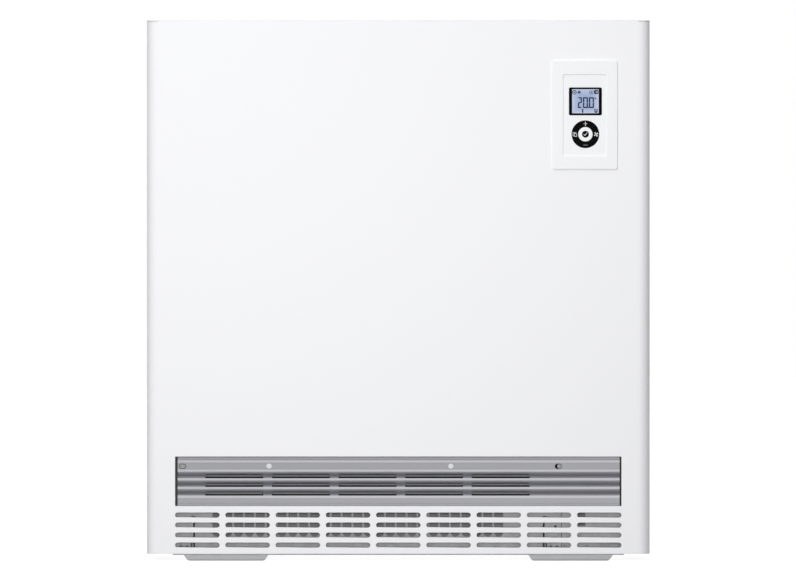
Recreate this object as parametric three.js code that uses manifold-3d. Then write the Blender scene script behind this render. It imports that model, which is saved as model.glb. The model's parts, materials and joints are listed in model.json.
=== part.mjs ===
// Flat fan-assisted storage heater, in millimetres.
// X runs to the right, the front faces -Y and Z is up. The origin is on the floor, midway
// between the sides and midway between front and back.
import * as THREE from 'three';
import { mergeVertices } from 'three/addons/utils/BufferGeometryUtils.js';
import Module from 'manifold-3d';

const wasm = await Module();
wasm.setup();

// Casing
const caseWidth = 605;
const caseHeight = 650;
const overallDepth = 185;
const sheet = 1;
const gap = 0.3;
const cornerRadius = 14;
const seamSetback = 22.5;
const coverSheet = 1.2;
const coverSkirt = 12;
const topFoldDepth = 12;
const bottomFoldDepth = 6;
const foldEndGap = 0.5;
const panelBottomZ = 8.3;
const sideFlange = 15.5;
const sideFloor = 27;

// Base and feet
const trayInset = 30.75;
const trayWall = 33;
const footHeight = 7;
const footWidth = 101.6;
const footInset = 44.6;
const footSetback = 4.5;
const footTaper = 4.8;
const footCorner = 4.5;
const footSheet = 1.5;

// Air outlet
const outletInset = 34.25;
const outletBottomZ = 65.85;
const outletHeight = 59.45;
const outletReturn = 3;
const grilleEndGap = 2.55;
const grilleShift = 0.4;
const grilleSheet = 1.3;
const grilleTopGap = 0.7;
const firstNoseDrop = 5.9;
const stripPitch = 10.8;
const nosePitch = 10.43;
const noseCount = 5;
const noseHeight = 1.6;
const slopeHeight = 4.9;
const windowBridge = 10.3;
const windowCount = 5;
const screwRadius = 1.7;
const screwHeadRadius = 3.5;
const screwLength = 5.2;
const screwInsetLeft = 76.6;
const screwInsetRight = 94.7;
const latchInsetLeft = 8.85;
const latchInsetRight = 75.85;
const latchSheet = 1.5;
const latchHeight = 6.6;
const latchDrop = 11.7;
const latchHoleLength = 8.4;
const latchHoleHeight = 6;

// Air intake
const slotBridgeX = 6.8;
const slotHeight = 6.2;
const slotPitchZ = 12.03;
const slotColumns = 9;
const slotRows = 4;
const slotLowZ = 18.9;
const notchCount = 27;
const notchWidth = 10.5;
const notchBottomZ = 28.7;
const notchTopGap = 4;
const filterThickness = 1.8;
const filterRim = 1.5;

// Clips lanced out of the sheet behind the intake slots, and the holes near them
const clipInsetLeft = 27;
const clipInsetRight = 97.7;
const clipBottomZ = 15.4;
const clipTopZ = 53.9;
const clipWidth = 4.7;
const clipSlit = 1.8;
const clipFootHeight = 6.6;
const plateOffset = 8;
const plateWidth = 10.2;
const plateTopZ = 28.5;
const plateBottomZ = 21.3;
const plateSlit = 0.6;
const plateTabZ = 17.4;
const plateTabWidth = 3;
const plateTabHeight = 1.6;
const fixingHoleRadius = 1;
const fixingHoleZ = 18;
const cableWindowInset = 46.75;
const cableWindowWidth = 8.8;
const cableWindowZ = 41.8;
const lapInset = 29.2;
const lapHeight = 13.2;

// Control unit
const controlInset = 78.2;
const controlDrop = 114;
const frameWidth = 78.5;
const frameHeight = 130.7;
const frameProud = 2;
const frameOverlap = 4;
const frameCollar = 1.5;
const fasciaWidth = 52.2;
const fasciaHeight = 97.8;
const fasciaRecess = 1.2;
const fasciaDropZ = -0.4;
const fasciaFlange = 1.3;
const fasciaLap = 2;
const seatGap = 0.05;
const displayShift = 0.6;
const displayRise = 16.3;
const displayWidth = 39.1;
const displayHeight = 33;
const screenWidth = 32.6;
const screenHeight = 29.5;
const ringDiameter = 32.8;
const ringDrop = 23.2;
const okDiameter = 17.5;
const keyGap = 0.25;
const keyTravel = 0.5;
const boardThickness = 1.6;
const housingWall = 1.5;

// Storage core
const coreInsetLeft = 70.5;
const coreInsetRight = 144.5;
const coreInsetY = 42.8;
const coreBottomZ = 150;
const coreHeadroom = 52;
const layerCount = 4;
const columnCount = 2;
const grooveCount = 9;
const grooveDepth = 7;
const grooveWidth = 10;
const elementRadius = 4.2;
const elementLegInset = 29.7;
const elementReach = 29;
const elementClearance = 8;
const sideInsulation = 39;
const shelfDepth = 28;
const topInsulation = 36;
const bottomInsulation = 20.3;
const airSlotWidth = 8;

// Fan, motor and mixing flap
const fanSetback = 44.5;
const fanZ = 36;
const fanRadius = 21;
const fanInset = 8.6;
const motorRoom = 32;
const bladeCount = 18;
const bladeSheet = 0.8;
const discSheet = 2;
const shaftRadius = 3;
const motorRadius = 21.5;
const motorLength = 44;
const ductSetback = 58.5;
const ductOverhang = 8;
const flapPinRadius = 2;
const flapDrop = 6;

// Wiring compartment
const terminalZ = 150;
const terminalHeight = 18;
const terminalDepth = 22;
const terminalCount = 5;
const terminalPitch = 13;
const relayZ = 210;
const relayHeight = 66;
const relayWidth = 44;
const relayShoulder = 13;
const limiterRise = 180;
const limiterSize = 32;
const limiterRadius = 13;
const limiterLength = 18;
const resetRadius = 3;
const resetProud = 3;
const sensorDrop = 26;
const sensorRadius = 3;

// Back panel holes
const cableInset = 52.5;
const cableZ = 110;
const cableHoleRadius = 10;
const wallHoleInset = 152.5;
const wallHoleDrop = 34;
const wallHoleRadius = 5;
const wallScrewRoom = 13;

// Sizes worked out from those above
const sideX = caseWidth / 2;
const backY = overallDepth / 2;
const frontY = frameProud - overallDepth / 2;
const innerFrontY = frontY + sheet;
const seamY = frontY + seamSetback;
const coverZ = caseHeight - coverSheet;
const panelTopZ = coverZ - gap;
const trayWidth = caseWidth - 2 * trayInset;
const trayTopZ = footHeight + sheet;
const footDepth = overallDepth - 2 * footSetback;
const footX = sideX - footInset - footWidth / 2;
const outletWidth = caseWidth - 2 * outletInset;
const outletTopZ = outletBottomZ + outletHeight;
const slotPitchX = trayWidth / slotColumns;
const slotLength = slotPitchX - slotBridgeX;

const coreLeftX = coreInsetLeft - sideX;
const coreRightX = sideX - coreInsetRight;
const coreWidth = coreRightX - coreLeftX;
const coreY = backY - coreInsetY;
const coreTopZ = caseHeight - coreHeadroom;
const layerPitch = (coreTopZ - coreBottomZ) / layerCount;
const elementLegY = coreY - elementLegInset;
const chassisFrontY = frontY + 10.5;
const chassisRightX = coreRightX + sideInsulation + sheet;
const chassisLeftX = -trayWidth / 2 - gap;
const flangeEndGap = 12.5;
const chassisTopZ = coreTopZ + topInsulation + 4;
const compartmentX = chassisRightX + sheet + gap;
const insulationLeftX = chassisLeftX + gap;
const insulationRightX = chassisRightX - gap;
const insulationFrontY = chassisFrontY + sheet + gap;
const insulationRearY = backY - sheet - gap;
const elementEndX = chassisRightX + elementReach - sheet;
const guardY = chassisFrontY - 3;

// Grille and its latches
const grilleWidth = outletWidth - 2 * grilleEndGap;
const grilleNoseY = frontY + 2.1;
const grilleStripY = grilleNoseY + 1.2;
const grilleBackY = grilleNoseY + 4.2;
const noseZ = [
  outletTopZ - firstNoseDrop,
  ...range(noseCount - 1).map((i) => outletTopZ - firstNoseDrop - stripPitch - i * nosePitch),
];
const windowPitch = (coreWidth + windowBridge) / windowCount;
const windowWidth = windowPitch - windowBridge;
const screwX = [coreLeftX + screwInsetLeft, coreRightX - screwInsetRight];
const latchX = [latchInsetLeft - outletWidth / 2, outletWidth / 2 - latchInsetRight];
const latchZ = outletTopZ - latchDrop;
const railY = grilleStripY + grilleSheet / 2 + gap;

// Duct, fan, motor and flap
const ductFloorZ = outletBottomZ - 2.9;
const ductRoofZ = outletTopZ + 0.7;
const ductLeftX = coreLeftX - ductOverhang;
const ductRightX = coreRightX + ductOverhang;
const ductFrontY = grilleBackY + 1.3;
const ductRearY = frontY + ductSetback;
const fanY = frontY + fanSetback;
const fanLeftX = coreLeftX + fanInset;
const fanLength = coreWidth - fanInset - motorRoom;
const fanPlateGap = 3;
const motorX = fanLeftX + fanLength + fanPlateGap + sheet + gap;
const flapY = ductRearY + 5;
const flapZ = ductRoofZ - flapDrop;
const notchPitch = (fanLength - notchWidth) / (notchCount - 1);

// Control unit
const controlX = sideX - controlInset;
const controlZ = caseHeight - controlDrop;
const displayX = controlX + displayShift;
const displayZ = controlZ + displayRise;
const ringZ = controlZ - ringDrop;
const keyBackY = frontY + 1.8;
const boardY = keyBackY + keyTravel + 2;
const housingWidth = frameWidth - 2 * frameOverlap - 2 * frameCollar - 1.5;
const housingHeight = frameHeight - 2 * frameOverlap - 2 * frameCollar - 1.7;

// Back panel holes and limiter
const cableX = sideX - cableInset;
const wallHoleX = sideX - wallHoleInset;
const wallHoleZ = caseHeight - wallHoleDrop;
const limiterY = backY / 2;
const limiterZ = coreBottomZ + limiterRise;
const sensorZ = coreTopZ - sensorDrop;

// Colours and finishes, one per kind of surface
const whitePaint = { color: 0xf2f4f5, roughness: 0.42, metalness: 0.0 };
const footPaint = { color: 0xb4b7b9, roughness: 0.55, metalness: 0.1 };
const galvanised = { color: 0x8b8f92, roughness: 0.48, metalness: 0.8 };
const filterGrey = { color: 0x63666a, roughness: 0.85, metalness: 0.1 };
const aluminium = { color: 0x9a9c9f, roughness: 0.34, metalness: 0.85 };
const brightSteel = { color: 0xc9cbcd, roughness: 0.25, metalness: 0.9 };
const whitePlastic = { color: 0xf1f2f3, roughness: 0.35, metalness: 0.0 };
const blackPlastic = { color: 0x0d0e10, roughness: 0.3, metalness: 0.0 };
const liquidCrystal = { color: 0xaebfcd, roughness: 0.15, metalness: 0.0 };
const magnetite = { color: 0x4a4038, roughness: 0.9, metalness: 0.0 };
const elementSteel = { color: 0x6a6460, roughness: 0.5, metalness: 0.8 };
const mineralBoard = { color: 0xd8d3c6, roughness: 0.95, metalness: 0.0 };
const circuitGreen = { color: 0x1f5b3a, roughness: 0.5, metalness: 0.1 };
const blackRubber = { color: 0x151515, roughness: 0.8, metalness: 0.0 };
const redPlastic = { color: 0xb3261e, roughness: 0.4, metalness: 0.0 };
const beigeThermoset = { color: 0xcfc8b4, roughness: 0.6, metalness: 0.0 };

const heater = new THREE.Group();

// Shape helpers

function solid(geometry) {
  const plain = geometry.clone();
  plain.deleteAttribute('normal');
  plain.deleteAttribute('uv');
  const merged = mergeVertices(plain, 1e-4);
  return new wasm.Manifold(new wasm.Mesh({
    numProp: 3,
    vertProperties: merged.attributes.position.array,
    triVerts: new Uint32Array(merged.index.array),
  }));
}

function surface(body) {
  const mesh = body.getMesh();
  const geometry = new THREE.BufferGeometry();
  geometry.setAttribute('position', new THREE.BufferAttribute(mesh.vertProperties, 3));
  geometry.setIndex(new THREE.BufferAttribute(mesh.triVerts, 1));
  const faceted = geometry.toNonIndexed();
  faceted.computeVertexNormals();
  return faceted;
}

function add(name, body, look) {
  const mesh = new THREE.Mesh(surface(body), new THREE.MeshStandardMaterial(look));
  mesh.name = name;
  heater.add(mesh);
}

function point(a, b) {
  return new THREE.Vector2(a, b);
}

// Replace each sharp corner of a line by an arc. A corner may carry its own radius.
function roundCorners(corners, radius, steps, closed) {
  const count = corners.length;
  return corners.flatMap((corner, i) => {
    const bend = corner.radius ?? radius;
    const isEnd = !closed && (i === 0 || i === count - 1);
    if (isEnd || bend === 0) return [corner];
    const back = corners[(i + count - 1) % count].clone().sub(corner).normalize();
    const ahead = corners[(i + 1) % count].clone().sub(corner).normalize();
    const halfAngle = Math.acos(THREE.MathUtils.clamp(back.dot(ahead), -1, 1)) / 2;
    const middle = back.clone().add(ahead).normalize();
    const centre = middle.multiplyScalar(bend / Math.sin(halfAngle)).add(corner);
    const start = back.multiplyScalar(bend / Math.tan(halfAngle)).add(corner);
    const end = ahead.multiplyScalar(bend / Math.tan(halfAngle)).add(corner);
    const side = Math.sign(start.clone().sub(centre).cross(end.clone().sub(centre)));
    const turn = side * (Math.PI - 2 * halfAngle);
    return Array.from({ length: steps + 1 }, (_, s) => (
      start.clone().rotateAround(centre, (turn * s) / steps)
    ));
  });
}

// The outline of a sheet seen edge-on: a line with rounded bends, given a thickness.
function bentSheet(corners, bendRadius, thickness, steps = 3) {
  const line = roundCorners(corners, bendRadius, steps, false);
  const near = [];
  const far = [];
  line.forEach((here, i) => {
    const before = line[Math.max(i - 1, 0)];
    const after = line[Math.min(i + 1, line.length - 1)];
    const into = (i === 0 ? after.clone().sub(here) : here.clone().sub(before)).normalize();
    const out = (i === line.length - 1 ? into.clone() : after.clone().sub(here)).normalize();
    const first = point(-into.y, into.x);
    const second = point(-out.y, out.x);
    const mitre = first.clone().add(second).divideScalar(1 + first.dot(second));
    mitre.multiplyScalar(thickness / 2);
    near.push(here.clone().add(mitre));
    far.unshift(here.clone().sub(mitre));
  });
  return new THREE.Shape([...near, ...far]);
}

function roundedRectangle(x, y, width, height, radius, steps = 3) {
  const corners = [
    point(x - width / 2, y - height / 2),
    point(x + width / 2, y - height / 2),
    point(x + width / 2, y + height / 2),
    point(x - width / 2, y + height / 2),
  ];
  return new THREE.Shape(roundCorners(corners, radius, steps, true));
}

function slotOutline(x, y, length, height, steps = 5) {
  const shape = new THREE.Shape();
  const radius = height / 2;
  const reach = length / 2 - radius;
  shape.absarc(x + reach, y, radius, -Math.PI / 2, Math.PI / 2, false);
  shape.absarc(x - reach, y, radius, Math.PI / 2, 1.5 * Math.PI, false);
  return new THREE.Shape(shape.getPoints(steps / 2).slice(0, -1));
}

function circleOutline(x, y, radius, sides) {
  const points = Array.from({ length: sides }, (_, i) => {
    const angle = ((i + 0.5) * 2 * Math.PI) / sides;
    return point(x + radius * Math.cos(angle), y + radius * Math.sin(angle));
  });
  return new THREE.Shape(points);
}

// Extrusions of an outline along each axis. Along X the outline is given as (y, z), along Y as
// (x, z) and along Z as (x, y).
function extrude(shape, length) {
  return new THREE.ExtrudeGeometry(shape, { depth: length, bevelEnabled: false, curveSegments: 3 });
}

function alongX(shape, x0, x1) {
  const turn = new THREE.Matrix4().makeBasis(
    new THREE.Vector3(0, 1, 0),
    new THREE.Vector3(0, 0, 1),
    new THREE.Vector3(1, 0, 0),
  );
  return solid(extrude(shape, x1 - x0).applyMatrix4(turn).translate(x0, 0, 0));
}

function alongY(shape, y0, y1) {
  return solid(extrude(shape, y1 - y0).rotateX(Math.PI / 2).translate(0, y1, 0));
}

function alongZ(shape, z0, z1) {
  return solid(extrude(shape, z1 - z0).translate(0, 0, z0));
}

function block(x0, x1, y0, y1, z0, z1) {
  const geometry = new THREE.BoxGeometry(x1 - x0, y1 - y0, z1 - z0);
  return solid(geometry.translate((x0 + x1) / 2, (y0 + y1) / 2, (z0 + z1) / 2));
}

function union(bodies) {
  return bodies.reduce((whole, body) => whole.add(body));
}

function cut(body, tools) {
  return body.subtract(union(tools));
}

function range(count) {
  return Array.from({ length: count }, (_, i) => i);
}

// Casing

function intakeSlots() {
  return range(slotRows * slotColumns).map((i) => {
    const column = i % slotColumns;
    const row = Math.floor(i / slotColumns);
    const x = (column - (slotColumns - 1) / 2) * slotPitchX;
    const z = slotLowZ + row * slotPitchZ;
    return alongY(slotOutline(x, z, slotLength, slotHeight), frontY - 1, innerFrontY + 1);
  });
}

// One sheet bent round both vertical corners, folded back along the top and the bottom, with
// short returns at the ends of the outlet opening.
function frontPanel() {
  const foldX = sideX - cornerRadius - foldEndGap;
  const wrap = bentSheet([
    point(-sideX + sheet / 2, seamY),
    point(-sideX + sheet / 2, frontY + sheet / 2),
    point(sideX - sheet / 2, frontY + sheet / 2),
    point(sideX - sheet / 2, seamY),
  ], cornerRadius - sheet / 2, sheet, 7);
  const topFold = bentSheet([
    point(frontY + sheet / 2, panelTopZ - 8),
    point(frontY + sheet / 2, caseHeight - sheet / 2),
    point(frontY + topFoldDepth, caseHeight - sheet / 2),
  ], 1.6, sheet);
  const bottomFold = bentSheet([
    point(frontY + sheet / 2, panelBottomZ + 5),
    point(frontY + sheet / 2, panelBottomZ + sheet / 2),
    point(frontY + bottomFoldDepth, panelBottomZ + sheet / 2),
  ], 1.1, sheet);
  const endReturns = [-1, 1].map((side) => {
    const inner = side * (outletWidth / 2);
    const outer = side * (outletWidth / 2 + sheet);
    const x0 = Math.min(inner, outer);
    return block(
      x0, x0 + sheet, innerFrontY - 0.2, innerFrontY + outletReturn, outletBottomZ, outletTopZ,
    );
  });
  const body = union([
    alongZ(wrap, panelBottomZ, panelTopZ),
    alongX(topFold, -foldX, foldX),
    alongX(bottomFold, -foldX, foldX),
  ]);
  const outlet = block(
    -outletWidth / 2, outletWidth / 2, frontY - 1, innerFrontY + 1, outletBottomZ, outletTopZ,
  );
  const control = alongY(
    roundedRectangle(
      controlX, controlZ,
      frameWidth - 2 * frameOverlap + gap, frameHeight - 2 * frameOverlap + gap, 2,
    ),
    frontY - 1, innerFrontY + 1,
  );
  return cut(body, [outlet, control, ...intakeSlots()]).add(union(endReturns));
}

// A flat cover with ears over the rounded corners and a skirt inside the sides and the back.
function topCover() {
  const foldX = sideX - cornerRadius - foldEndGap + gap;
  const foldY = frontY + topFoldDepth + gap;
  const outline = new THREE.Shape();
  outline.moveTo(-sideX, backY);
  outline.lineTo(-sideX, frontY + cornerRadius);
  outline.absarc(
    -sideX + cornerRadius, frontY + cornerRadius, cornerRadius, Math.PI, 1.5 * Math.PI, false,
  );
  outline.lineTo(-foldX, frontY);
  outline.lineTo(-foldX, foldY);
  outline.lineTo(foldX, foldY);
  outline.lineTo(foldX, frontY);
  outline.absarc(
    sideX - cornerRadius, frontY + cornerRadius, cornerRadius, 1.5 * Math.PI, 2 * Math.PI, false,
  );
  outline.lineTo(sideX, backY);
  const skirtX = sideX - sheet - gap;
  const skirtBottomZ = coverZ - coverSkirt;
  const skirts = [-1, 1].map((side) => block(
    Math.min(side * skirtX, side * (skirtX - sheet)),
    Math.max(side * skirtX, side * (skirtX - sheet)),
    seamY + 8, backY - 3, skirtBottomZ, coverZ + 0.1,
  ));
  const rearSkirt = block(
    sideFlange + 2.5 - sideX, sideX - sideFlange - 2.5,
    backY - 2 * sheet - gap, backY - sheet - gap, skirtBottomZ, coverZ + 0.1,
  );
  return union([alongZ(outline, coverZ, caseHeight), ...skirts, rearSkirt]);
}

// A side sheet with a flange turned in at the front, the back and the bottom.
function sidePanel(side) {
  const rearY = backY - 1.5 * sheet - gap;
  const plan = bentSheet([
    point(side * (sideX - sideFlange), seamY + gap + sheet / 2),
    point(side * (sideX - sheet / 2), seamY + gap + sheet / 2),
    point(side * (sideX - sheet / 2), rearY),
    point(side * (sideX - sideFlange), rearY),
  ], 1.2, sheet);
  const floorX = [side * (sideX - 1.5 * sheet), side * (sideX - sideFloor)].sort((a, b) => a - b);
  const floor = block(
    floorX[0], floorX[1], seamY + gap + 0.2, rearY + gap, panelBottomZ, panelBottomZ + sheet,
  );
  return alongZ(plan, panelBottomZ, panelTopZ).add(floor);
}

// A plain sheet with a cable hole low on the right and a wall-fixing hole in each upper corner.
function backPanel() {
  const outline = roundedRectangle(
    0, (panelBottomZ + panelTopZ) / 2, caseWidth, panelTopZ - panelBottomZ, 3,
  );
  const holes = [
    alongY(circleOutline(cableX, cableZ, cableHoleRadius, 20), backY - 3, backY + 1),
    alongY(circleOutline(-wallHoleX, wallHoleZ, wallHoleRadius, 16), backY - 3, backY + 1),
    alongY(circleOutline(wallHoleX, wallHoleZ, wallHoleRadius, 16), backY - 3, backY + 1),
  ];
  return cut(alongY(outline, backY - sheet, backY), holes);
}

// A pan with its edges turned up at both sides and at the back.
function baseTray() {
  const edgeX = trayWidth / 2 - sheet / 2;
  const wallTopZ = footHeight + trayWall;
  const section = bentSheet([
    point(-edgeX, wallTopZ),
    point(-edgeX, footHeight + sheet / 2),
    point(edgeX, footHeight + sheet / 2),
    point(edgeX, wallTopZ),
  ], 1.3, sheet);
  const rearWall = block(
    -edgeX + 2, edgeX - 2, backY - 2.5 * sheet, backY - 1.5 * sheet,
    footHeight + sheet / 2, wallTopZ,
  );
  const frontLip = block(
    -edgeX, edgeX, innerFrontY + 1, frontY + bottomFoldDepth + 1, footHeight, trayTopZ,
  );
  return union([
    alongY(section, frontY + bottomFoldDepth + gap, backY - 1.5 * sheet), rearWall, frontLip,
  ]);
}

// A shallow pressed pan, narrower at the floor.
function foot(side) {
  const pan = (inset, z0) => {
    const section = (centre, length) => new THREE.Shape(roundCorners([
      Object.assign(point(centre - length / 2 + inset, footHeight + inset), { radius: 0 }),
      point(centre - length / 2 + footTaper + inset, z0),
      point(centre + length / 2 - footTaper - inset, z0),
      Object.assign(point(centre + length / 2 - inset, footHeight + inset), { radius: 0 }),
    ], footCorner, 3, true));
    const across = alongY(section(side * footX, footWidth), -backY, backY);
    return across.intersect(alongX(section(0, footDepth), -sideX, sideX));
  };
  return pan(0, 0).subtract(pan(footSheet, footSheet));
}

// Inner galvanised casing

// A wall with flanges turned outward at the front and the back.
function chassisWall(side, wallX, flangeX, holes) {
  const plan = bentSheet([
    point(flangeX, chassisFrontY + sheet / 2),
    point(wallX + (side * sheet) / 2, chassisFrontY + sheet / 2),
    point(wallX + (side * sheet) / 2, backY - 4),
    point(wallX + side * 18, backY - 4),
  ], 1.2, sheet);
  const wall = alongZ(plan, panelBottomZ + sheet + 0.7, chassisTopZ);
  return holes.length > 0 ? cut(wall, holes) : wall;
}

// The sheet in front of the insulation, bent back under it above the outlet duct.
function chassisFront() {
  const shelfZ = coreBottomZ - bottomInsulation - 1.2;
  const section = bentSheet([
    point(chassisFrontY + sheet / 2, chassisTopZ),
    point(chassisFrontY + sheet / 2, shelfZ),
    point(chassisFrontY + shelfDepth, shelfZ),
  ], 1.5, sheet);
  return alongX(section, insulationLeftX, insulationRightX);
}

// A sheet behind the intake slots with a row of round-ended openings for the fan.
function intakeGuard() {
  const guardTopZ = ductFloorZ - gap;
  const radius = notchWidth / 2;
  const plate = block(
    -trayWidth / 2 + 2, trayWidth / 2 - 2, guardY, guardY + sheet, trayTopZ, guardTopZ,
  );
  const notches = range(notchCount).map((i) => {
    const x = fanLeftX + radius + i * notchPitch;
    const outline = new THREE.Shape();
    outline.moveTo(x + radius, guardTopZ - notchTopGap);
    outline.lineTo(x - radius, guardTopZ - notchTopGap);
    outline.absarc(x, notchBottomZ + radius, radius, Math.PI, 2 * Math.PI, false);
    return alongY(outline, guardY - 1, guardY + sheet + 1);
  });
  return cut(plate, [
    ...notches,
    ...clipSlits(clipInsetLeft - trayWidth / 2, -1),
    ...clipSlits(trayWidth / 2 - clipInsetRight, 1),
    ...guardHoles(),
  ]);
}

function throughGuard(x0, x1, z0, z1) {
  return block(Math.min(x0, x1), Math.max(x0, x1), guardY - 1, guardY + sheet + 1, z0, z1);
}

// Slits round a tall lanced clip, and beside it those round a small plate with two tabs. X is
// the free edge of the clip, and side is the direction in which the small plate lies.
function clipSlits(x, side) {
  const rootX = x + side * clipWidth;
  const plateX = x + side * plateOffset;
  const plateEndX = plateX + side * plateWidth;
  return [
    throughGuard(x, x + side * clipSlit, clipBottomZ, clipTopZ),
    throughGuard(x, rootX, clipTopZ - 0.9, clipTopZ),
    throughGuard(rootX - side * (clipSlit - 0.3), rootX, clipBottomZ, clipBottomZ + clipFootHeight),
    throughGuard(plateX, plateEndX, plateTopZ - plateSlit, plateTopZ),
    throughGuard(plateX, plateEndX, plateBottomZ, plateBottomZ + plateSlit),
    ...[plateX, plateEndX - side * plateTabWidth].map((tabX) => throughGuard(
      tabX, tabX + side * plateTabWidth, plateTabZ - plateTabHeight / 2, plateTabZ + plateTabHeight / 2,
    )),
  ];
}

// A fine mesh pad in a rim, which keeps lint out of the fan.
function lintFilter() {
  const x0 = fanLeftX - filterRim;
  const x1 = fanLeftX + fanLength + filterRim;
  const z0 = notchBottomZ - filterRim;
  const z1 = ductFloorZ - 2 * gap;
  const y0 = guardY + sheet + gap;
  const recess = filterThickness / 4;
  const pocket = (yFrom, yTo) => block(
    x0 + filterRim / 2, x1 - filterRim / 2, yFrom, yTo, z0 + filterRim / 2, z1 - filterRim / 2,
  );
  return cut(block(x0, x1, y0, y0 + filterThickness, z0, z1), [
    pocket(y0 - 1, y0 + recess),
    pocket(y0 + filterThickness - recess, y0 + filterThickness + 1),
  ]);
}

// The opening for the cables of the wiring compartment.
function cableWindow(y0, y1) {
  const x = trayWidth / 2 - cableWindowInset;
  return block(x - cableWindowWidth, x, y0, y1, cableWindowZ, outletBottomZ - 6);
}

// Fixing holes at the right, a sight slit at the edge of the compartment, the cable window and
// the corner cut off where the sheet laps over the one behind it.
function guardHoles() {
  const y0 = guardY - 1;
  const y1 = guardY + sheet + 1;
  const lapX = trayWidth / 2 - lapInset;
  const corner = new THREE.Shape([
    point(lapX, trayTopZ + lapHeight),
    point(lapX + 3, trayTopZ + 2),
    point(trayWidth / 2 - 6, trayTopZ + 2),
    point(trayWidth / 2 - 6, trayTopZ + lapHeight),
  ]);
  const round = (x, z, radius) => alongY(circleOutline(x, z, radius, 10), y0, y1);
  return [
    round(chassisRightX + 2, fixingHoleZ, fixingHoleRadius),
    round(lapX - 2 * plateOffset + plateSlit, fixingHoleZ, fixingHoleRadius),
    round(chassisRightX - 9, cableWindowZ - 0.5, fixingHoleRadius + 0.3),
    throughGuard(chassisRightX - 1.9, chassisRightX - 1.5, clipBottomZ, outletBottomZ - 6),
    cableWindow(y0, y1),
    alongY(corner, y0, y1),
  ];
}

// An open-ended box between the mixing chamber and the grille, with two ears for the flap pins.
function outletDuct() {
  const outer = block(ductLeftX, ductRightX, ductFrontY, ductRearY, ductFloorZ, ductRoofZ);
  const inner = block(
    ductLeftX + sheet, ductRightX - sheet, ductFrontY - 1, ductRearY + 1,
    ductFloorZ + sheet, ductRoofZ - sheet,
  );
  const ears = [ductLeftX, ductRightX - sheet].map((x) => {
    const ear = alongX(
      roundedRectangle(flapY, flapZ, 12, 12, 3), x, x + sheet,
    );
    return ear.subtract(alongX(circleOutline(flapY, flapZ, flapPinRadius + gap, 12), x - 1, x + 2));
  });
  return union([outer.subtract(inner), ...ears]);
}

// Outlet grille: one extruded section with five noses. Air leaves through rows of windows
// punched in the slopes that run out and down to the lower noses.
function grilleSection() {
  const half = noseHeight / 2;
  const corners = [
    point(grilleBackY, outletTopZ - grilleTopGap),
    point(grilleBackY, noseZ[0] + half),
    point(grilleNoseY, noseZ[0] + half),
    point(grilleNoseY, noseZ[0] - half),
    point(grilleStripY, noseZ[0] - half - 0.3),
    point(grilleStripY, noseZ[1] + half + 0.3),
  ];
  noseZ.slice(1).forEach((z, i) => {
    corners.push(point(grilleNoseY, z + half));
    corners.push(point(grilleNoseY, z - half));
    const isLast = i === noseZ.length - 2;
    if (!isLast) corners.push(point(grilleBackY, z - half - slopeHeight));
  });
  const lastZ = noseZ[noseZ.length - 1] - half;
  corners.push(point(grilleStripY, lastZ - 2.2));
  corners.push(point(grilleStripY, outletBottomZ + 3.2));
  corners.push(point(grilleNoseY, outletBottomZ + 2));
  corners.push(point(grilleNoseY, outletBottomZ + gap));
  return bentSheet(corners, 0, grilleSheet);
}

function outletGrille() {
  const leftX = grilleShift - grilleWidth / 2;
  const bar = alongX(grilleSection(), leftX, leftX + grilleWidth);
  const windows = noseZ.slice(2).flatMap((z, row) => {
    const topZ = noseZ[row + 1] - noseHeight / 2 - slopeHeight - 0.1;
    const bottomZ = z + noseHeight / 2 + 0.3;
    return range(windowCount).map((i) => {
      const x = coreLeftX + windowWidth / 2 + i * windowPitch;
      const corners = [
        Object.assign(point(x - windowWidth / 2, bottomZ), { radius: 0.6 }),
        Object.assign(point(x + windowWidth / 2, bottomZ), { radius: 0.6 }),
        point(x + windowWidth / 2, topZ),
        point(x - windowWidth / 2, topZ),
      ];
      const outline = new THREE.Shape(roundCorners(corners, 2, 2, true));
      return alongY(outline, grilleNoseY - 2, grilleBackY + 2);
    });
  });
  const screwHoles = screwX.map((x) => (
    alongY(circleOutline(x, latchZ, screwRadius + gap, 12), grilleStripY - 2, grilleStripY + 2)
  ));
  const latchHoles = latchX.map((x) => (
    alongY(
      slotOutline(x, latchZ, latchHoleLength, latchHoleHeight, 6), grilleStripY - 2, grilleStripY + 2,
    )
  ));
  return cut(bar, [...windows, ...screwHoles, ...latchHoles]);
}

// A flat bar that stiffens the fixing strip between the two latches.
function grilleRail() {
  const bar = block(
    latchX[0] + 2 * latchHoleLength, latchX[1] - 2 * latchHoleLength, railY, railY + latchSheet,
    latchZ - latchHeight / 2, latchZ + latchHeight / 2,
  );
  return cut(bar, screwX.map((x) => (
    alongY(circleOutline(x, latchZ, screwRadius + gap, 12), railY - 1, railY + 3)
  )));
}

// A flat bolt behind the fixing strip, with a rounded inner end. It is moved with a finger
// through the oval hole and shoots outward behind the edge of the outlet opening.
function grilleLatch(x, side, innerReach) {
  const innerX = x - side * innerReach;
  const outerX = grilleShift + side * (grilleWidth / 2 - gap);
  const bolt = alongY(
    slotOutline((innerX + outerX) / 2, latchZ, Math.abs(outerX - innerX), latchHeight, 6),
    railY, railY + latchSheet,
  );
  const squareEnd = block(
    Math.min(outerX, outerX - side * latchHeight), Math.max(outerX, outerX - side * latchHeight),
    railY, railY + latchSheet, latchZ - latchHeight / 2, latchZ + latchHeight / 2,
  );
  return bolt.add(squareEnd);
}

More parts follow.
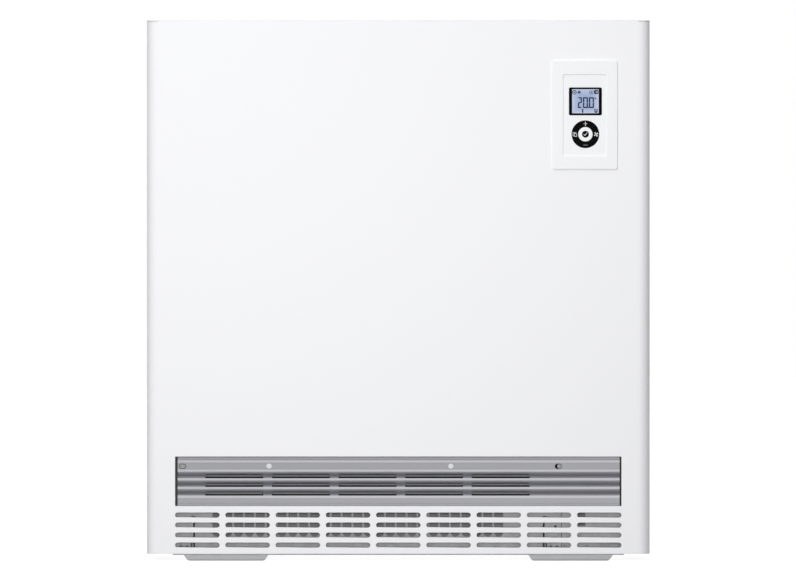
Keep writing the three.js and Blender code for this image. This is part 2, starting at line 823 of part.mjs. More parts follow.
// A domed head with a hexagonal socket, and a plain shank.
function grilleScrew(x) {
  const seatY = grilleStripY - grilleSheet / 2 - 0.05;
  const profile = [
    point(0, -screwLength),
    point(screwRadius, -screwLength),
    point(screwRadius, 0),
    point(screwHeadRadius, 0),
    point(screwHeadRadius - 0.1, 0.7),
    point(screwHeadRadius - 1, 1.3),
    point(0, 1.6),
  ];
  const turned = new THREE.LatheGeometry(profile, 14);
  const socket = new THREE.CylinderGeometry(1.3, 1.3, 2, 6).translate(0, 1.9, 0);
  const body = solid(turned).subtract(solid(socket));
  return body.rotate([180, 0, 0]).translate([x, seatY, latchZ]);
}

// Fan

function fanRotor() {
  const blade = (angle) => {
    const inner = fanRadius * 0.79;
    const at = (radius, lead) => point(
      fanY + radius * Math.cos(angle + lead), fanZ + radius * Math.sin(angle + lead),
    );
    const profile = bentSheet(
      [at(inner, 0), at(inner * 1.14, 0.09), at(fanRadius - 0.4, 0.28)], 0, bladeSheet,
    );
    return alongX(profile, fanLeftX, fanLeftX + fanLength);
  };
  const discs = [0, 0.5, 1].map((part) => {
    const x = fanLeftX + part * (fanLength - discSheet);
    return alongX(circleOutline(fanY, fanZ, fanRadius, 2 * bladeCount), x, x + discSheet);
  });
  const shaft = alongX(circleOutline(fanY, fanZ, shaftRadius, 12), fanLeftX - 8, motorX + 10);
  return union([...discs, shaft, ...range(bladeCount).map((i) => (
    blade((i * 2 * Math.PI) / bladeCount)
  ))]);
}

// A scroll round the rear of the rotor between two end plates.
function fanHousing() {
  const plateLeft = fanLeftX - fanPlateGap - sheet;
  const plateRight = fanLeftX + fanLength + fanPlateGap;
  const plateDepth = 3 * fanRadius + 3;
  const scrollStart = -125;
  const scrollStep = 15;
  const scroll = range(10).map((i) => {
    const angle = THREE.MathUtils.degToRad(scrollStart + i * scrollStep);
    const radius = fanRadius + 2.5 + i * 0.45;
    return point(fanY + radius * Math.cos(angle), fanZ + radius * Math.sin(angle));
  });
  scroll.push(point(fanY + fanRadius + 7, ductFloorZ - 2));
  const tongue = [
    point(fanY - 18, ductFloorZ - 2),
    point(fanY + 1, ductFloorZ - 2),
    point(fanY + 5, fanZ + fanRadius + 2.3),
  ];
  const walls = [scroll, tongue].map((line) => (
    alongX(bentSheet(line, 0, sheet), plateLeft, plateRight + sheet)
  ));
  const plates = [plateLeft, plateRight].map((x) => {
    const plate = alongX(
      roundedRectangle(fanY + 2, (trayTopZ + ductFloorZ) / 2, plateDepth, ductFloorZ - trayTopZ - 1, 6),
      x, x + sheet,
    );
    return plate.subtract(
      alongX(circleOutline(fanY, fanZ, shaftRadius + 0.5, 12), x - 1, x + 2),
    );
  });
  return union([...plates, ...walls]);
}

function fanBearing() {
  const x = fanLeftX - fanPlateGap - sheet - gap;
  const profile = [
    point(shaftRadius + 0.2, 0),
    point(8, 0),
    point(8, 2),
    point(5.5, 3.2),
    point(shaftRadius + 0.2, 3.2),
  ];
  const ring = new THREE.LatheGeometry([...profile, profile[0]], 16);
  return solid(ring).rotate([0, 0, 90]).translate([x, fanY, fanZ]);
}

// A round motor with a boss at its end and a foot on the tray.
function fanMotor() {
  const x = motorX;
  const bossRadius = 2 * shaftRadius;
  const shell = new THREE.LatheGeometry([
    point(0, 0),
    point(motorRadius - 1.5, 0),
    point(motorRadius, 1.5),
    point(motorRadius, motorLength - 4),
    point(motorRadius - 7.5, motorLength),
    point(bossRadius, motorLength),
    point(bossRadius, motorLength + 5),
    point(0, motorLength + 5),
  ], 20);
  const body = solid(shell).rotate([0, 0, -90]).translate([x, fanY, fanZ]);
  const footY = 16;
  const foot = block(
    x + 8, x + motorLength - 12, fanY - footY, fanY + footY, trayTopZ, fanZ - 14,
  );
  const shaftHole = alongX(circleOutline(fanY, fanZ, shaftRadius + gap, 12), x - 1, x + 11);
  return cut(body.add(foot), [shaftHole]);
}

// A plate that hangs across the rear of the outlet duct from two pins.
function mixingFlap() {
  const pins = alongX(
    circleOutline(flapY, flapZ, flapPinRadius, 12), ductLeftX - 2, ductRightX + 2,
  );
  const leaf = bentSheet([
    point(flapY, flapZ),
    point(flapY, ductFloorZ + 4),
    point(flapY + 4, ductFloorZ + 1.5),
  ], 1, sheet);
  return pins.add(alongX(leaf, ductLeftX + 2, ductRightX - 2));
}

// A curled strip that bends as it warms and sets the flap.
function bimetalStrip() {
  const x = ductRightX + gap;
  const coil = range(16).map((i) => {
    const angle = (i * Math.PI) / 6;
    const radius = 5 + i * 0.42;
    return point(
      flapY - 16 + radius * Math.cos(angle), flapZ - 16 + radius * Math.sin(angle),
    );
  });
  return alongX(bentSheet(coil, 0, 0.8), x, x + 10);
}

// Storage core

function elementPath(layer, radius) {
  const z = coreBottomZ + layer * layerPitch - gap / 2;
  const bendX = coreLeftX + 2 * elementLegY;
  const legs = [-elementLegY, elementLegY].map((y) => (
    alongX(circleOutline(y, z, radius, 8), bendX - 0.5, elementEndX)
  ));
  const arc = new THREE.EllipseCurve(0, 0, elementLegY, elementLegY, Math.PI / 2, 1.5 * Math.PI);
  const bend = new THREE.CatmullRomCurve3(arc.getPoints(10).map((p) => (
    new THREE.Vector3(bendX + p.x, p.y, z)
  )));
  const tube = new THREE.ExtrudeGeometry(circleOutline(0, 0, radius, 8), {
    steps: 10, extrudePath: bend, bevelEnabled: false,
  });
  return union([...legs, solid(tube)]);
}

// A magnetite brick: upright air grooves front and back, half-round grooves for the elements.
function brick(column, layer) {
  const width = (coreWidth - (columnCount - 1) * gap) / columnCount;
  const x0 = coreLeftX + column * (width + gap);
  const z0 = coreBottomZ + layer * layerPitch;
  const z1 = z0 + layerPitch - gap;
  const pitch = width / grooveCount;
  const body = block(x0, x0 + width, -coreY, coreY, z0, z1);
  const grooves = range(grooveCount).flatMap((i) => {
    const left = x0 + (i + 0.5) * pitch - grooveWidth / 2;
    return [
      block(left, left + grooveWidth, -coreY - 1, grooveDepth - coreY, z0 - 1, z1 + 1),
      block(left, left + grooveWidth, coreY - grooveDepth, coreY + 1, z0 - 1, z1 + 1),
    ];
  });
  const channels = [layer, layer + 1].filter((l) => l > 0 && l < layerCount);
  const elements = channels.map((l) => elementPath(l, elementRadius + 1));
  return cut(body, [...grooves, ...elements]);
}

function insulationFront() {
  return block(
    insulationLeftX, insulationRightX, insulationFrontY,
    -coreY - gap, coreBottomZ, coreTopZ,
  );
}

function insulationRear() {
  return block(
    insulationLeftX, insulationRightX, coreY + gap, insulationRearY,
    coreBottomZ, coreTopZ,
  );
}

function insulationLeft() {
  return block(
    insulationLeftX, coreLeftX - gap, -coreY, coreY, coreBottomZ, coreTopZ,
  );
}

// Holes through the right-hand insulation and wall for the element ends and the sensor.
function rightWallHoles() {
  const legs = range(layerCount - 1).map((i) => elementPath(i + 1, elementRadius + 1));
  const sensor = alongX(
    circleOutline(0, sensorZ, sensorRadius + gap, 12), coreRightX - 1, compartmentX + 4,
  );
  return [...legs, sensor];
}

function insulationRight() {
  const slab = block(
    coreRightX + gap, insulationRightX, -coreY, coreY, coreBottomZ, coreTopZ,
  );
  return cut(slab, rightWallHoles());
}

function insulationTop() {
  return block(
    insulationLeftX, insulationRightX, insulationFrontY,
    insulationRearY - wallScrewRoom, coreTopZ + gap, coreTopZ + topInsulation,
  );
}

// The slab under the core has one slot for rising air and one for the air that comes back down.
function insulationBottom() {
  const slab = block(
    insulationLeftX, insulationRightX, insulationFrontY,
    backY - 5, coreBottomZ - bottomInsulation - gap, coreBottomZ - gap,
  );
  const slots = [-1, 1].map((side) => {
    const y = side * (coreY - airSlotWidth / 2);
    return block(
      coreLeftX + 10, coreRightX - 10, y - airSlotWidth / 2, y + airSlotWidth / 2,
      coreBottomZ - bottomInsulation - 5, coreBottomZ + 1,
    );
  });
  return cut(slab, slots);
}

// Control unit

function flatRing(outer, inner, y0, y1) {
  return alongY(outer, y0, y1).subtract(alongY(inner, y0 - 1, y1 + 1));
}

// A raised surround with a softened edge and a collar that passes through the front panel.
function controlFrame() {
  const edge = 0.8;
  const plate = new THREE.ExtrudeGeometry(
    roundedRectangle(controlX, controlZ, frameWidth - 2 * edge, frameHeight - 2 * edge, 2.4), {
      depth: frameProud,
      bevelEnabled: true,
      bevelThickness: edge,
      bevelSize: edge,
      bevelSegments: 2,
      curveSegments: 3,
    },
  ).rotateX(Math.PI / 2).translate(0, frontY + edge, 0);
  const front = solid(plate).intersect(block(0, sideX, frontY - 5, frontY, 0, caseHeight));
  const collarWidth = frameWidth - 2 * frameOverlap - gap;
  const collarHeight = frameHeight - 2 * frameOverlap - gap;
  const collar = flatRing(
    roundedRectangle(controlX, controlZ, collarWidth, collarHeight, 2),
    roundedRectangle(
      controlX, controlZ, collarWidth - 2 * frameCollar, collarHeight - 2 * frameCollar, 1,
    ),
    frontY - 0.3, frontY + 5,
  );
  const opening = alongY(
    roundedRectangle(controlX, controlZ + fasciaDropZ, fasciaWidth, fasciaHeight, 2),
    frontY - 5, frontY + 0.1,
  );
  const pocket = alongY(
    roundedRectangle(
      controlX, controlZ + fasciaDropZ,
      fasciaWidth + 2 * (fasciaLap + gap), fasciaHeight + 2 * (fasciaLap + gap), 2.5,
    ),
    frontY - frameProud + fasciaRecess - seatGap, frontY + 0.1,
  );
  return cut(front.add(collar), [opening, pocket]);
}

// The recessed plate that carries the display and the keys. It lies in a pocket of the frame.
function controlFascia() {
  const faceY = frontY - frameProud + fasciaRecess;
  const face = alongY(
    roundedRectangle(
      controlX, controlZ + fasciaDropZ,
      fasciaWidth + 2 * fasciaLap, fasciaHeight + 2 * fasciaLap, 2.2,
    ),
    faceY, frontY + 0.6,
  );
  const flange = alongY(
    roundedRectangle(controlX, controlZ, housingWidth - 0.5, housingHeight - 0.3, 1),
    frontY + gap, frontY + gap + fasciaFlange,
  );
  const displayHole = alongY(
    roundedRectangle(displayX, displayZ, displayWidth + 2 * gap, displayHeight + 2 * gap, 1.8),
    faceY - 1, frontY + 3,
  );
  const keyHole = alongY(
    circleOutline(displayX, ringZ, ringDiameter / 2 + gap, 32), faceY - 1, frontY + 3,
  );
  return cut(face.add(flange), [displayHole, keyHole]);
}

function displayBezel() {
  return flatRing(
    roundedRectangle(displayX, displayZ, displayWidth, displayHeight, 1.5),
    roundedRectangle(displayX, displayZ + 0.2, screenWidth, screenHeight, 0.4),
    frontY - 1.1, frontY + 2,
  );
}

function displayScreen() {
  const outline = roundedRectangle(
    displayX, displayZ + 0.2, screenWidth - 2 * gap, screenHeight - 2 * gap, 0.3,
  );
  return alongY(outline, frontY - 0.6, boardY - gap);
}

// One quarter of the key ring. The four quarters meet on the diagonals.
function ringKey(quarter) {
  const outerRadius = ringDiameter / 2;
  const innerRadius = okDiameter / 2 + gap;
  const middle = (quarter * Math.PI) / 2;
  const arcPoints = (radius, reverse) => {
    const half = Math.PI / 4 - keyGap / radius;
    return range(9).map((i) => {
      const part = reverse ? 8 - i : i;
      const angle = middle - half + (part * 2 * half) / 8;
      return point(displayX + radius * Math.cos(angle), ringZ + radius * Math.sin(angle));
    });
  };
  const outline = new THREE.Shape([
    ...arcPoints(outerRadius, false),
    ...arcPoints(innerRadius, true),
  ]);
  return alongY(outline, frontY - 1, keyBackY);
}

// A round key with a softened rim and a flat middle.
function okKey() {
  const radius = okDiameter / 2;
  const faceY = frontY - 1.3;
  const length = keyBackY - faceY;
  const profile = [
    point(0, 0),
    point(radius, 0),
    point(radius, length - 0.5),
    point(radius - 0.15, length - 0.15),
    point(radius - 0.5, length),
    point(0, length),
  ];
  return solid(new THREE.LatheGeometry(profile, 32)).rotate([180, 0, 0])
    .translate([displayX, keyBackY, ringZ]);
}

// The circuit board with the display socket and one tactile switch behind each key.
function controlBoard() {
  const plate = alongY(
    roundedRectangle(
      controlX, controlZ, housingWidth - 2 * housingWall - 1, housingHeight - 2 * housingWall - 1, 1,
    ),
    boardY, boardY + boardThickness,
  );
  const switchRing = (ringDiameter + okDiameter) / 4;
  const places = [[0, 0], [switchRing, 0], [-switchRing, 0], [0, switchRing], [0, -switchRing]];
  const switches = places.map(([dx, dz]) => {
    const body = alongY(
      roundedRectangle(displayX + dx, ringZ + dz, 4.5, 4.5, 0.6, 2),
      keyBackY + keyTravel + 0.9, boardY + 0.5,
    );
    const plunger = alongY(
      circleOutline(displayX + dx, ringZ + dz, 1.2, 10), keyBackY + keyTravel + 0.1, boardY,
    );
    return body.add(plunger);
  });
  const chipX = 24;
  const chipWidth = 12;
  const chipZ = controlZ - housingHeight / 2 + 7;
  const chips = [
    block(controlX - chipX, controlX - chipX + chipWidth, boardY + 1.5, boardY + 2.9, chipZ, chipZ + 8),
    block(controlX + chipX - chipWidth, controlX + chipX, boardY - 2, boardY + 0.1, chipZ, chipZ + 7),
  ];
  return union([plate, ...switches, ...chips]);
}

// A shallow tray behind the front panel that holds the board.
function controlHousing() {
  const outer = alongY(
    roundedRectangle(controlX, controlZ, housingWidth, housingHeight, 2),
    frontY + 2.2, chassisFrontY - gap,
  );
  const inner = alongY(
    roundedRectangle(
      controlX, controlZ, housingWidth - 2 * housingWall, housingHeight - 2 * housingWall, 1.2,
    ),
    frontY + 1, chassisFrontY - gap - 1.2,
  );
  const cableHole = alongY(
    slotOutline(controlX, controlZ - 45, 16, 7), chassisFrontY - 3, chassisFrontY,
  );
  return outer.subtract(inner).subtract(cableHole);
}

// Wiring compartment

function terminalBlock() {
  const x1 = compartmentX + terminalDepth;
  const length = terminalCount * terminalPitch - 1;
  const y0 = limiterY - length / 2;
  const body = block(compartmentX, x1, y0, y0 + length, terminalZ, terminalZ + terminalHeight);
  const wells = range(terminalCount).flatMap((i) => {
    const y = y0 + (i + 0.5) * (length / terminalCount);
    return [
      block(x1 - 10, x1 + 1, y - 4, y + 4, terminalZ + 8, terminalZ + terminalHeight + 1),
      alongX(circleOutline(y, terminalZ + 4, 2.2, 8), x1 - 12, x1 + 1),
    ];
  });
  return cut(body, wells);
}

// A block with stepped ends and three ribs on its outer face.
function powerRelay() {
  const x1 = compartmentX + relayWidth;
  const y0 = elementLegY + elementRadius + elementClearance;
  const y1 = y0 + relayWidth;
  const topZ = relayZ + relayHeight;
  const body = block(compartmentX, x1, y0, y1, relayZ, topZ);
  const stepX = x1 - relayShoulder;
  const groovePitch = relayWidth / 3.4;
  const shoulders = [
    block(stepX, x1 + 1, y0 - 1, y1 + 1, relayZ - 1, relayZ + relayShoulder),
    block(stepX, x1 + 1, y0 - 1, y1 + 1, topZ - relayShoulder, topZ + 1),
    ...range(3).map((i) => {
      const y = y0 + 6 + i * groovePitch;
      return block(
        x1 - 4, x1 + 1, y, y + 6, relayZ + relayShoulder + 5, topZ - relayShoulder - 5,
      );
    }),
  ];
  return cut(body, shoulders);
}

function safetyLimiter() {
  const plate = alongX(
    roundedRectangle(limiterY, limiterZ, limiterSize, limiterSize, 3), compartmentX, compartmentX + 3,
  );
  const endX = compartmentX + limiterLength;
  const can = alongX(circleOutline(limiterY, limiterZ, limiterRadius, 20), compartmentX + 2.9, endX);
  const bore = alongX(circleOutline(limiterY, limiterZ, resetRadius + 0.5, 12), endX - 7, endX + 1);
  return cut(plate.add(can), [bore]);
}

function resetButton() {
  const endX = compartmentX + limiterLength + resetProud;
  const stem = alongX(circleOutline(limiterY, limiterZ, resetRadius, 12), endX - 8, endX);
  const head = alongX(
    circleOutline(limiterY, limiterZ, resetRadius - 0.4, 12), endX - 0.1, endX + 1,
  );
  return stem.add(head);
}

// A capillary bulb in the top insulation and its bracket on the compartment wall.
function coreSensor() {
  const x = compartmentX;
  const reach = 12;
  const bracket = block(x, x + 2, -reach, reach, sensorZ - reach, sensorZ + reach);
  const probe = alongX(circleOutline(0, sensorZ, sensorRadius, 12), coreRightX + gap, x + 1);
  const plug = alongX(circleOutline(0, sensorZ, 2 * sensorRadius, 12), x + 1.9, x + reach);
  return union([bracket, probe, plug]);
}

// A soft ring with a closed middle, seated in the cable hole of the back panel.
function cableGrommet() {
  const groove = cableHoleRadius - gap;
  const lip = cableHoleRadius + 2.5;
  const profile = [
    point(0, -0.4),
    point(groove - 3, -0.4),
    point(groove - 2, -2.6),
    point(lip, -2.6),
    point(lip, -gap),
    point(groove, -gap),
    point(groove, sheet - 0.2),
    point(groove - 3, sheet - 0.2),
    point(groove - 4, 0.6),
    point(0, 0.6),
  ];
  return solid(new THREE.LatheGeometry(profile, 20))
    .translate([cableX, backY - sheet, cableZ]);
}

// Assembly

add('front_panel', frontPanel(), whitePaint);
add('top_cover', topCover(), whitePaint);
add('left_side_panel', sidePanel(-1), whitePaint);
add('right_side_panel', sidePanel(1), whitePaint);
add('back_panel', backPanel(), galvanised);
add('base_tray', baseTray(), galvanised);
add('left_foot', foot(-1), footPaint);
add('right_foot', foot(1), footPaint);
add('chassis_left', chassisWall(-1, chassisLeftX, flangeEndGap - sideX, []), galvanised);
add('chassis_right', chassisWall(1, chassisRightX, trayWidth / 2 - 1.75, [
  ...rightWallHoles(),
  cableWindow(chassisFrontY - 1, chassisFrontY + 2),
]), galvanised);
add('chassis_front', chassisFront(), galvanised);
add('intake_guard', intakeGuard(), galvanised);
add('lint_filter', lintFilter(), filterGrey);
add('outlet_duct', outletDuct(), galvanised);

add('outlet_grille', outletGrille(), aluminium);
add('grille_rail', grilleRail(), galvanised);
add('grille_latch_left', grilleLatch(latchX[0], -1, 1.5 * latchHoleLength), brightSteel);
add('grille_latch_right', grilleLatch(latchX[1], 1, latchHoleLength / 6), brightSteel);
add('grille_screw_left', grilleScrew(screwX[0]), brightSteel);
add('grille_screw_right', grilleScrew(screwX[1]), brightSteel);

add('fan_rotor', fanRotor(), aluminium);
add('fan_housing', fanHousing(), galvanised);
add('fan_bearing', fanBearing(), blackRubber);
add('fan_motor', fanMotor(), brightSteel);
add('mixing_flap', mixingFlap(), galvanised);
add('bimetal_strip', bimetalStrip(), brightSteel);

range(layerCount).forEach((layer) => {
  add(`core_brick_left_${layer + 1}`, brick(0, layer), magnetite);
  add(`core_brick_right_${layer + 1}`, brick(1, layer), magnetite);
});
range(layerCount - 1).forEach((i) => {
  add(`heating_element_${i + 1}`, elementPath(i + 1, elementRadius), elementSteel);
});
add('insulation_front', insulationFront(), mineralBoard);
add('insulation_rear', insulationRear(), mineralBoard);
add('insulation_left', insulationLeft(), mineralBoard);
add('insulation_right', insulationRight(), mineralBoard);
add('insulation_top', insulationTop(), mineralBoard);
add('insulation_bottom', insulationBottom(), mineralBoard);

add('control_frame', controlFrame(), whitePlastic);
add('control_fascia', controlFascia(), whitePlastic);
add('display_bezel', displayBezel(), blackPlastic);
add('display_screen', displayScreen(), liquidCrystal);
add('fan_key', ringKey(0), blackPlastic);
add('plus_key', ringKey(1), blackPlastic);
add('menu_key', ringKey(2), blackPlastic);
add('minus_key', ringKey(3), blackPlastic);
add('ok_key', okKey(), whitePlastic);
add('control_board', controlBoard(), circuitGreen);
add('control_housing', controlHousing(), blackPlastic);

add('terminal_block', terminalBlock(), beigeThermoset);
add('power_relay', powerRelay(), blackPlastic);
add('safety_limiter', safetyLimiter(), beigeThermoset);
add('reset_button', resetButton(), redPlastic);
add('core_sensor', coreSensor(), brightSteel);
add('cable_grommet', cableGrommet(), blackRubber);

export default heater;
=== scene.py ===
import json
import math

import bmesh
import bpy
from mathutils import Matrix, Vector

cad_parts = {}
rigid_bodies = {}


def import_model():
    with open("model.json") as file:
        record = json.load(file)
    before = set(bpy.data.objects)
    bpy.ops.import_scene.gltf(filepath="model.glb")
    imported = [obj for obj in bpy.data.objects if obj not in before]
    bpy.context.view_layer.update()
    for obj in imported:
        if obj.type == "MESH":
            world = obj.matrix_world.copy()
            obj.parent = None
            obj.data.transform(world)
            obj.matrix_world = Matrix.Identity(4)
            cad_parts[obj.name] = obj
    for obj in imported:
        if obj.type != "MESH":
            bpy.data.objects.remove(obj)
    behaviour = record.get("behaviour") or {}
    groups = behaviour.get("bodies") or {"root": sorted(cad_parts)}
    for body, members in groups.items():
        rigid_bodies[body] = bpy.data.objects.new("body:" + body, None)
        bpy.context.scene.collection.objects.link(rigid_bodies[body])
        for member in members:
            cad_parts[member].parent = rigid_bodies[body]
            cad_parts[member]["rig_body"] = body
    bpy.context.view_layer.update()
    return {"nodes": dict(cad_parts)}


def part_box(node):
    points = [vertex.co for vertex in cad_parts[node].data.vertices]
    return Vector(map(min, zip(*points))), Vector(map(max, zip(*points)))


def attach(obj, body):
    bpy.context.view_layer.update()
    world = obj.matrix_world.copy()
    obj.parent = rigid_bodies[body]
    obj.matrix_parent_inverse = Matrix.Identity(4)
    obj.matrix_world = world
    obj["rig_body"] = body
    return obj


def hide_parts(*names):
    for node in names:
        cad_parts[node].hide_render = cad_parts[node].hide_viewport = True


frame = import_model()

bl_info = {
    "name": "Storage heater",
    "version": (1, 0, 0),
    "blender": (4, 5, 0),
    "location": "View3D > Sidebar > Heater",
    "description": "Builds the visible surfaces, the display and the studio of a flat storage heater",
    "category": "Object",
}

MM = 0.001
FINISH_PREFIX = "finish_"


# Settings

class PaintSettings(bpy.types.PropertyGroup):
    """Colours and finishes of the casing and the control unit."""

    paint: bpy.props.FloatVectorProperty(
        name="Casing paint", description="Colour of the powder coat on the casing",
        subtype="COLOR", size=3, default=(0.90, 0.902, 0.913), min=0, max=1)
    foot_paint: bpy.props.FloatVectorProperty(
        name="Foot paint", description="Colour of the pressed feet",
        subtype="COLOR", size=3, default=(0.76, 0.765, 0.775), min=0, max=1)
    frame_plastic: bpy.props.FloatVectorProperty(
        name="Control frame", description="Colour of the raised surround of the control unit",
        subtype="COLOR", size=3, default=(0.90, 0.905, 0.915), min=0, max=1)
    key_plastic: bpy.props.FloatVectorProperty(
        name="Keys", description="Colour of the bezel and of the ring of keys",
        subtype="COLOR", size=3, default=(0.0035, 0.0035, 0.0038), min=0, max=1)
    crystal: bpy.props.FloatVectorProperty(
        name="Display", description="Colour of the liquid crystal display",
        subtype="COLOR", size=3, default=(0.289, 0.364, 0.546), min=0, max=1)
    ink: bpy.props.FloatVectorProperty(
        name="Digits", description="Colour of the digits and symbols on the display",
        subtype="COLOR", size=3, default=(0.012, 0.014, 0.035), min=0, max=1)
    paint_roughness: bpy.props.FloatProperty(
        name="Paint roughness", description="Roughness of the powder coat",
        subtype="FACTOR", default=0.42, min=0, max=1)


class MetalSettings(bpy.types.PropertyGroup):
    """Colours of the bare metal parts."""

    aluminium: bpy.props.FloatVectorProperty(
        name="Grille", description="Colour of the anodised outlet grille",
        subtype="COLOR", size=3, default=(0.35, 0.351, 0.372), min=0, max=1)
    galvanised: bpy.props.FloatVectorProperty(
        name="Galvanised sheet", description="Colour of the inner sheets",
        subtype="COLOR", size=3, default=(0.36, 0.36, 0.37), min=0, max=1)
    bright: bpy.props.FloatVectorProperty(
        name="Bright steel", description="Colour of screws and latches",
        subtype="COLOR", size=3, default=(0.72, 0.73, 0.74), min=0, max=1)


class StudioSettings(bpy.types.PropertyGroup):
    """Light level, floor and camera distance."""

    key_level: bpy.props.FloatProperty(
        name="Key light", description="Power of the light at the upper left in front",
        unit="POWER", default=27.4, min=0)
    front_level: bpy.props.FloatProperty(
        name="Front light", description="Power of the light straight in front",
        unit="POWER", default=15.9, min=0)
    top_level: bpy.props.FloatProperty(
        name="Top light", description="Power of the light above the front",
        unit="POWER", default=8.0, min=0)
    ambient: bpy.props.FloatProperty(
        name="Ambient level", description="Strength of the even light from all round",
        default=0.433, min=0, max=2)
    lens: bpy.props.FloatProperty(
        name="Lens", description="Focal length of the camera in millimetres",
        default=400.0, min=20)
    frame_width: bpy.props.FloatProperty(
        name="Frame width", description="Width of the picture at the front panel",
        unit="LENGTH", default=0.9568, min=0.1)


# Shader node groups

def group_sockets(tree, inputs, outputs):
    for name, kind, value in inputs:
        made = tree.interface.new_socket(name=name, in_out="INPUT", socket_type=kind)
        made.default_value = value
    for name, kind in outputs:
        tree.interface.new_socket(name=name, in_out="OUTPUT", socket_type=kind)
    return tree.nodes.new("NodeGroupInput"), tree.nodes.new("NodeGroupOutput")


def noise(tree, coordinates, scale, detail=2.0, stretch=None):
    links = tree.links
    texture = tree.nodes.new("ShaderNodeTexNoise")
    texture.inputs["Detail"].default_value = detail
    if stretch:
        mapping = tree.nodes.new("ShaderNodeMapping")
        mapping.inputs["Scale"].default_value = stretch
        links.new(coordinates, mapping.inputs["Vector"])
        links.new(mapping.outputs["Vector"], texture.inputs["Vector"])
    else:
        links.new(coordinates, texture.inputs["Vector"])
    if hasattr(scale, "is_linked"):
        links.new(scale, texture.inputs["Scale"])
    else:
        texture.inputs["Scale"].default_value = scale
    return texture.outputs["Fac"]


def maths(tree, operation, first, second):
    node = tree.nodes.new("ShaderNodeMath")
    node.operation = operation
    for socket, value in zip(node.inputs, (first, second)):
        if hasattr(value, "is_linked"):
            tree.links.new(value, socket)
        else:
            socket.default_value = value
    return node.outputs[0]


def shade(tree, colour, factor):
    """The colour times a grey factor that varies over the surface."""
    node = tree.nodes.new("ShaderNodeMix")
    node.data_type = "RGBA"
    node.blend_type = "MULTIPLY"
    node.inputs["Factor"].default_value = 1.0
    tree.links.new(colour, node.inputs["A"])
    tree.links.new(factor, node.inputs["B"])
    return node.outputs["Result"]


def centred(tree, value, amount):
    """1 + (value - 0.5) * amount, for small variations round the written colour."""
    spread = maths(tree, "MULTIPLY", maths(tree, "SUBTRACT", value, 0.5), amount)
    return maths(tree, "ADD", spread, 1.0)


def powder_coat_group():
    """Fine orange peel and a very faint cloudiness, as powder-coated sheet has."""
    tree = bpy.data.node_groups.new("powder_coat", "ShaderNodeTree")
    given, out = group_sockets(
        tree,
        [("Colour", "NodeSocketColor", (0.9, 0.9, 0.9, 1)),
         ("Cloudiness", "NodeSocketFloat", 0.02),
         ("Peel Scale", "NodeSocketFloat", 900.0),
         ("Roughness", "NodeSocketFloat", 0.4)],
        [("Colour", "NodeSocketColor"), ("Roughness", "NodeSocketFloat"),
         ("Height", "NodeSocketFloat")])
    place = tree.nodes.new("ShaderNodeTexCoord").outputs["Object"]
    clouds = noise(tree, place, 2.2, 3.0)
    peel = noise(tree, place, given.outputs["Peel Scale"], 2.0)
    colour = shade(tree, given.outputs["Colour"],
                   centred(tree, clouds, given.outputs["Cloudiness"]))
    rough = maths(tree, "MULTIPLY", given.outputs["Roughness"], centred(tree, peel, 0.18))
    tree.links.new(colour, out.inputs["Colour"])
    tree.links.new(rough, out.inputs["Roughness"])
    tree.links.new(peel, out.inputs["Height"])
    return tree


def rolled_metal_group():
    """Streaks along X over zinc or mill grain, with finger-wide patches of tone."""
    tree = bpy.data.node_groups.new("rolled_metal", "ShaderNodeTree")
    given, out = group_sockets(
        tree,
        [("Colour", "NodeSocketColor", (0.5, 0.5, 0.5, 1)),
         ("Grain", "NodeSocketFloat", 0.15),
         ("Spangle", "NodeSocketFloat", 0.1),
         ("Spangle Scale", "NodeSocketFloat", 90.0),
         ("Roughness", "NodeSocketFloat", 0.35)],
        [("Colour", "NodeSocketColor"), ("Roughness", "NodeSocketFloat"),
         ("Height", "NodeSocketFloat")])
    place = tree.nodes.new("ShaderNodeTexCoord").outputs["Object"]
    streaks = noise(tree, place, 40.0, 4.0, stretch=(0.6, 30.0, 30.0))
    crystals = tree.nodes.new("ShaderNodeTexVoronoi")
    tree.links.new(place, crystals.inputs["Vector"])
    tree.links.new(given.outputs["Spangle Scale"], crystals.inputs["Scale"])
    tone = tree.nodes.new("ShaderNodeSeparateColor")
    tree.links.new(crystals.outputs["Color"], tone.inputs["Color"])
    patches = noise(tree, place, 9.0, 2.0)
    grain = centred(tree, streaks, given.outputs["Grain"])
    spangle = centred(tree, tone.outputs[0], given.outputs["Spangle"])
    both = maths(tree, "MULTIPLY", grain, spangle)
    both = maths(tree, "MULTIPLY", both, centred(tree, patches, 0.08))
    colour = shade(tree, given.outputs["Colour"], both)
    rough = maths(tree, "MULTIPLY", given.outputs["Roughness"], centred(tree, streaks, 0.5))
    tree.links.new(colour, out.inputs["Colour"])
    tree.links.new(rough, out.inputs["Roughness"])
    tree.links.new(streaks, out.inputs["Height"])
    return tree


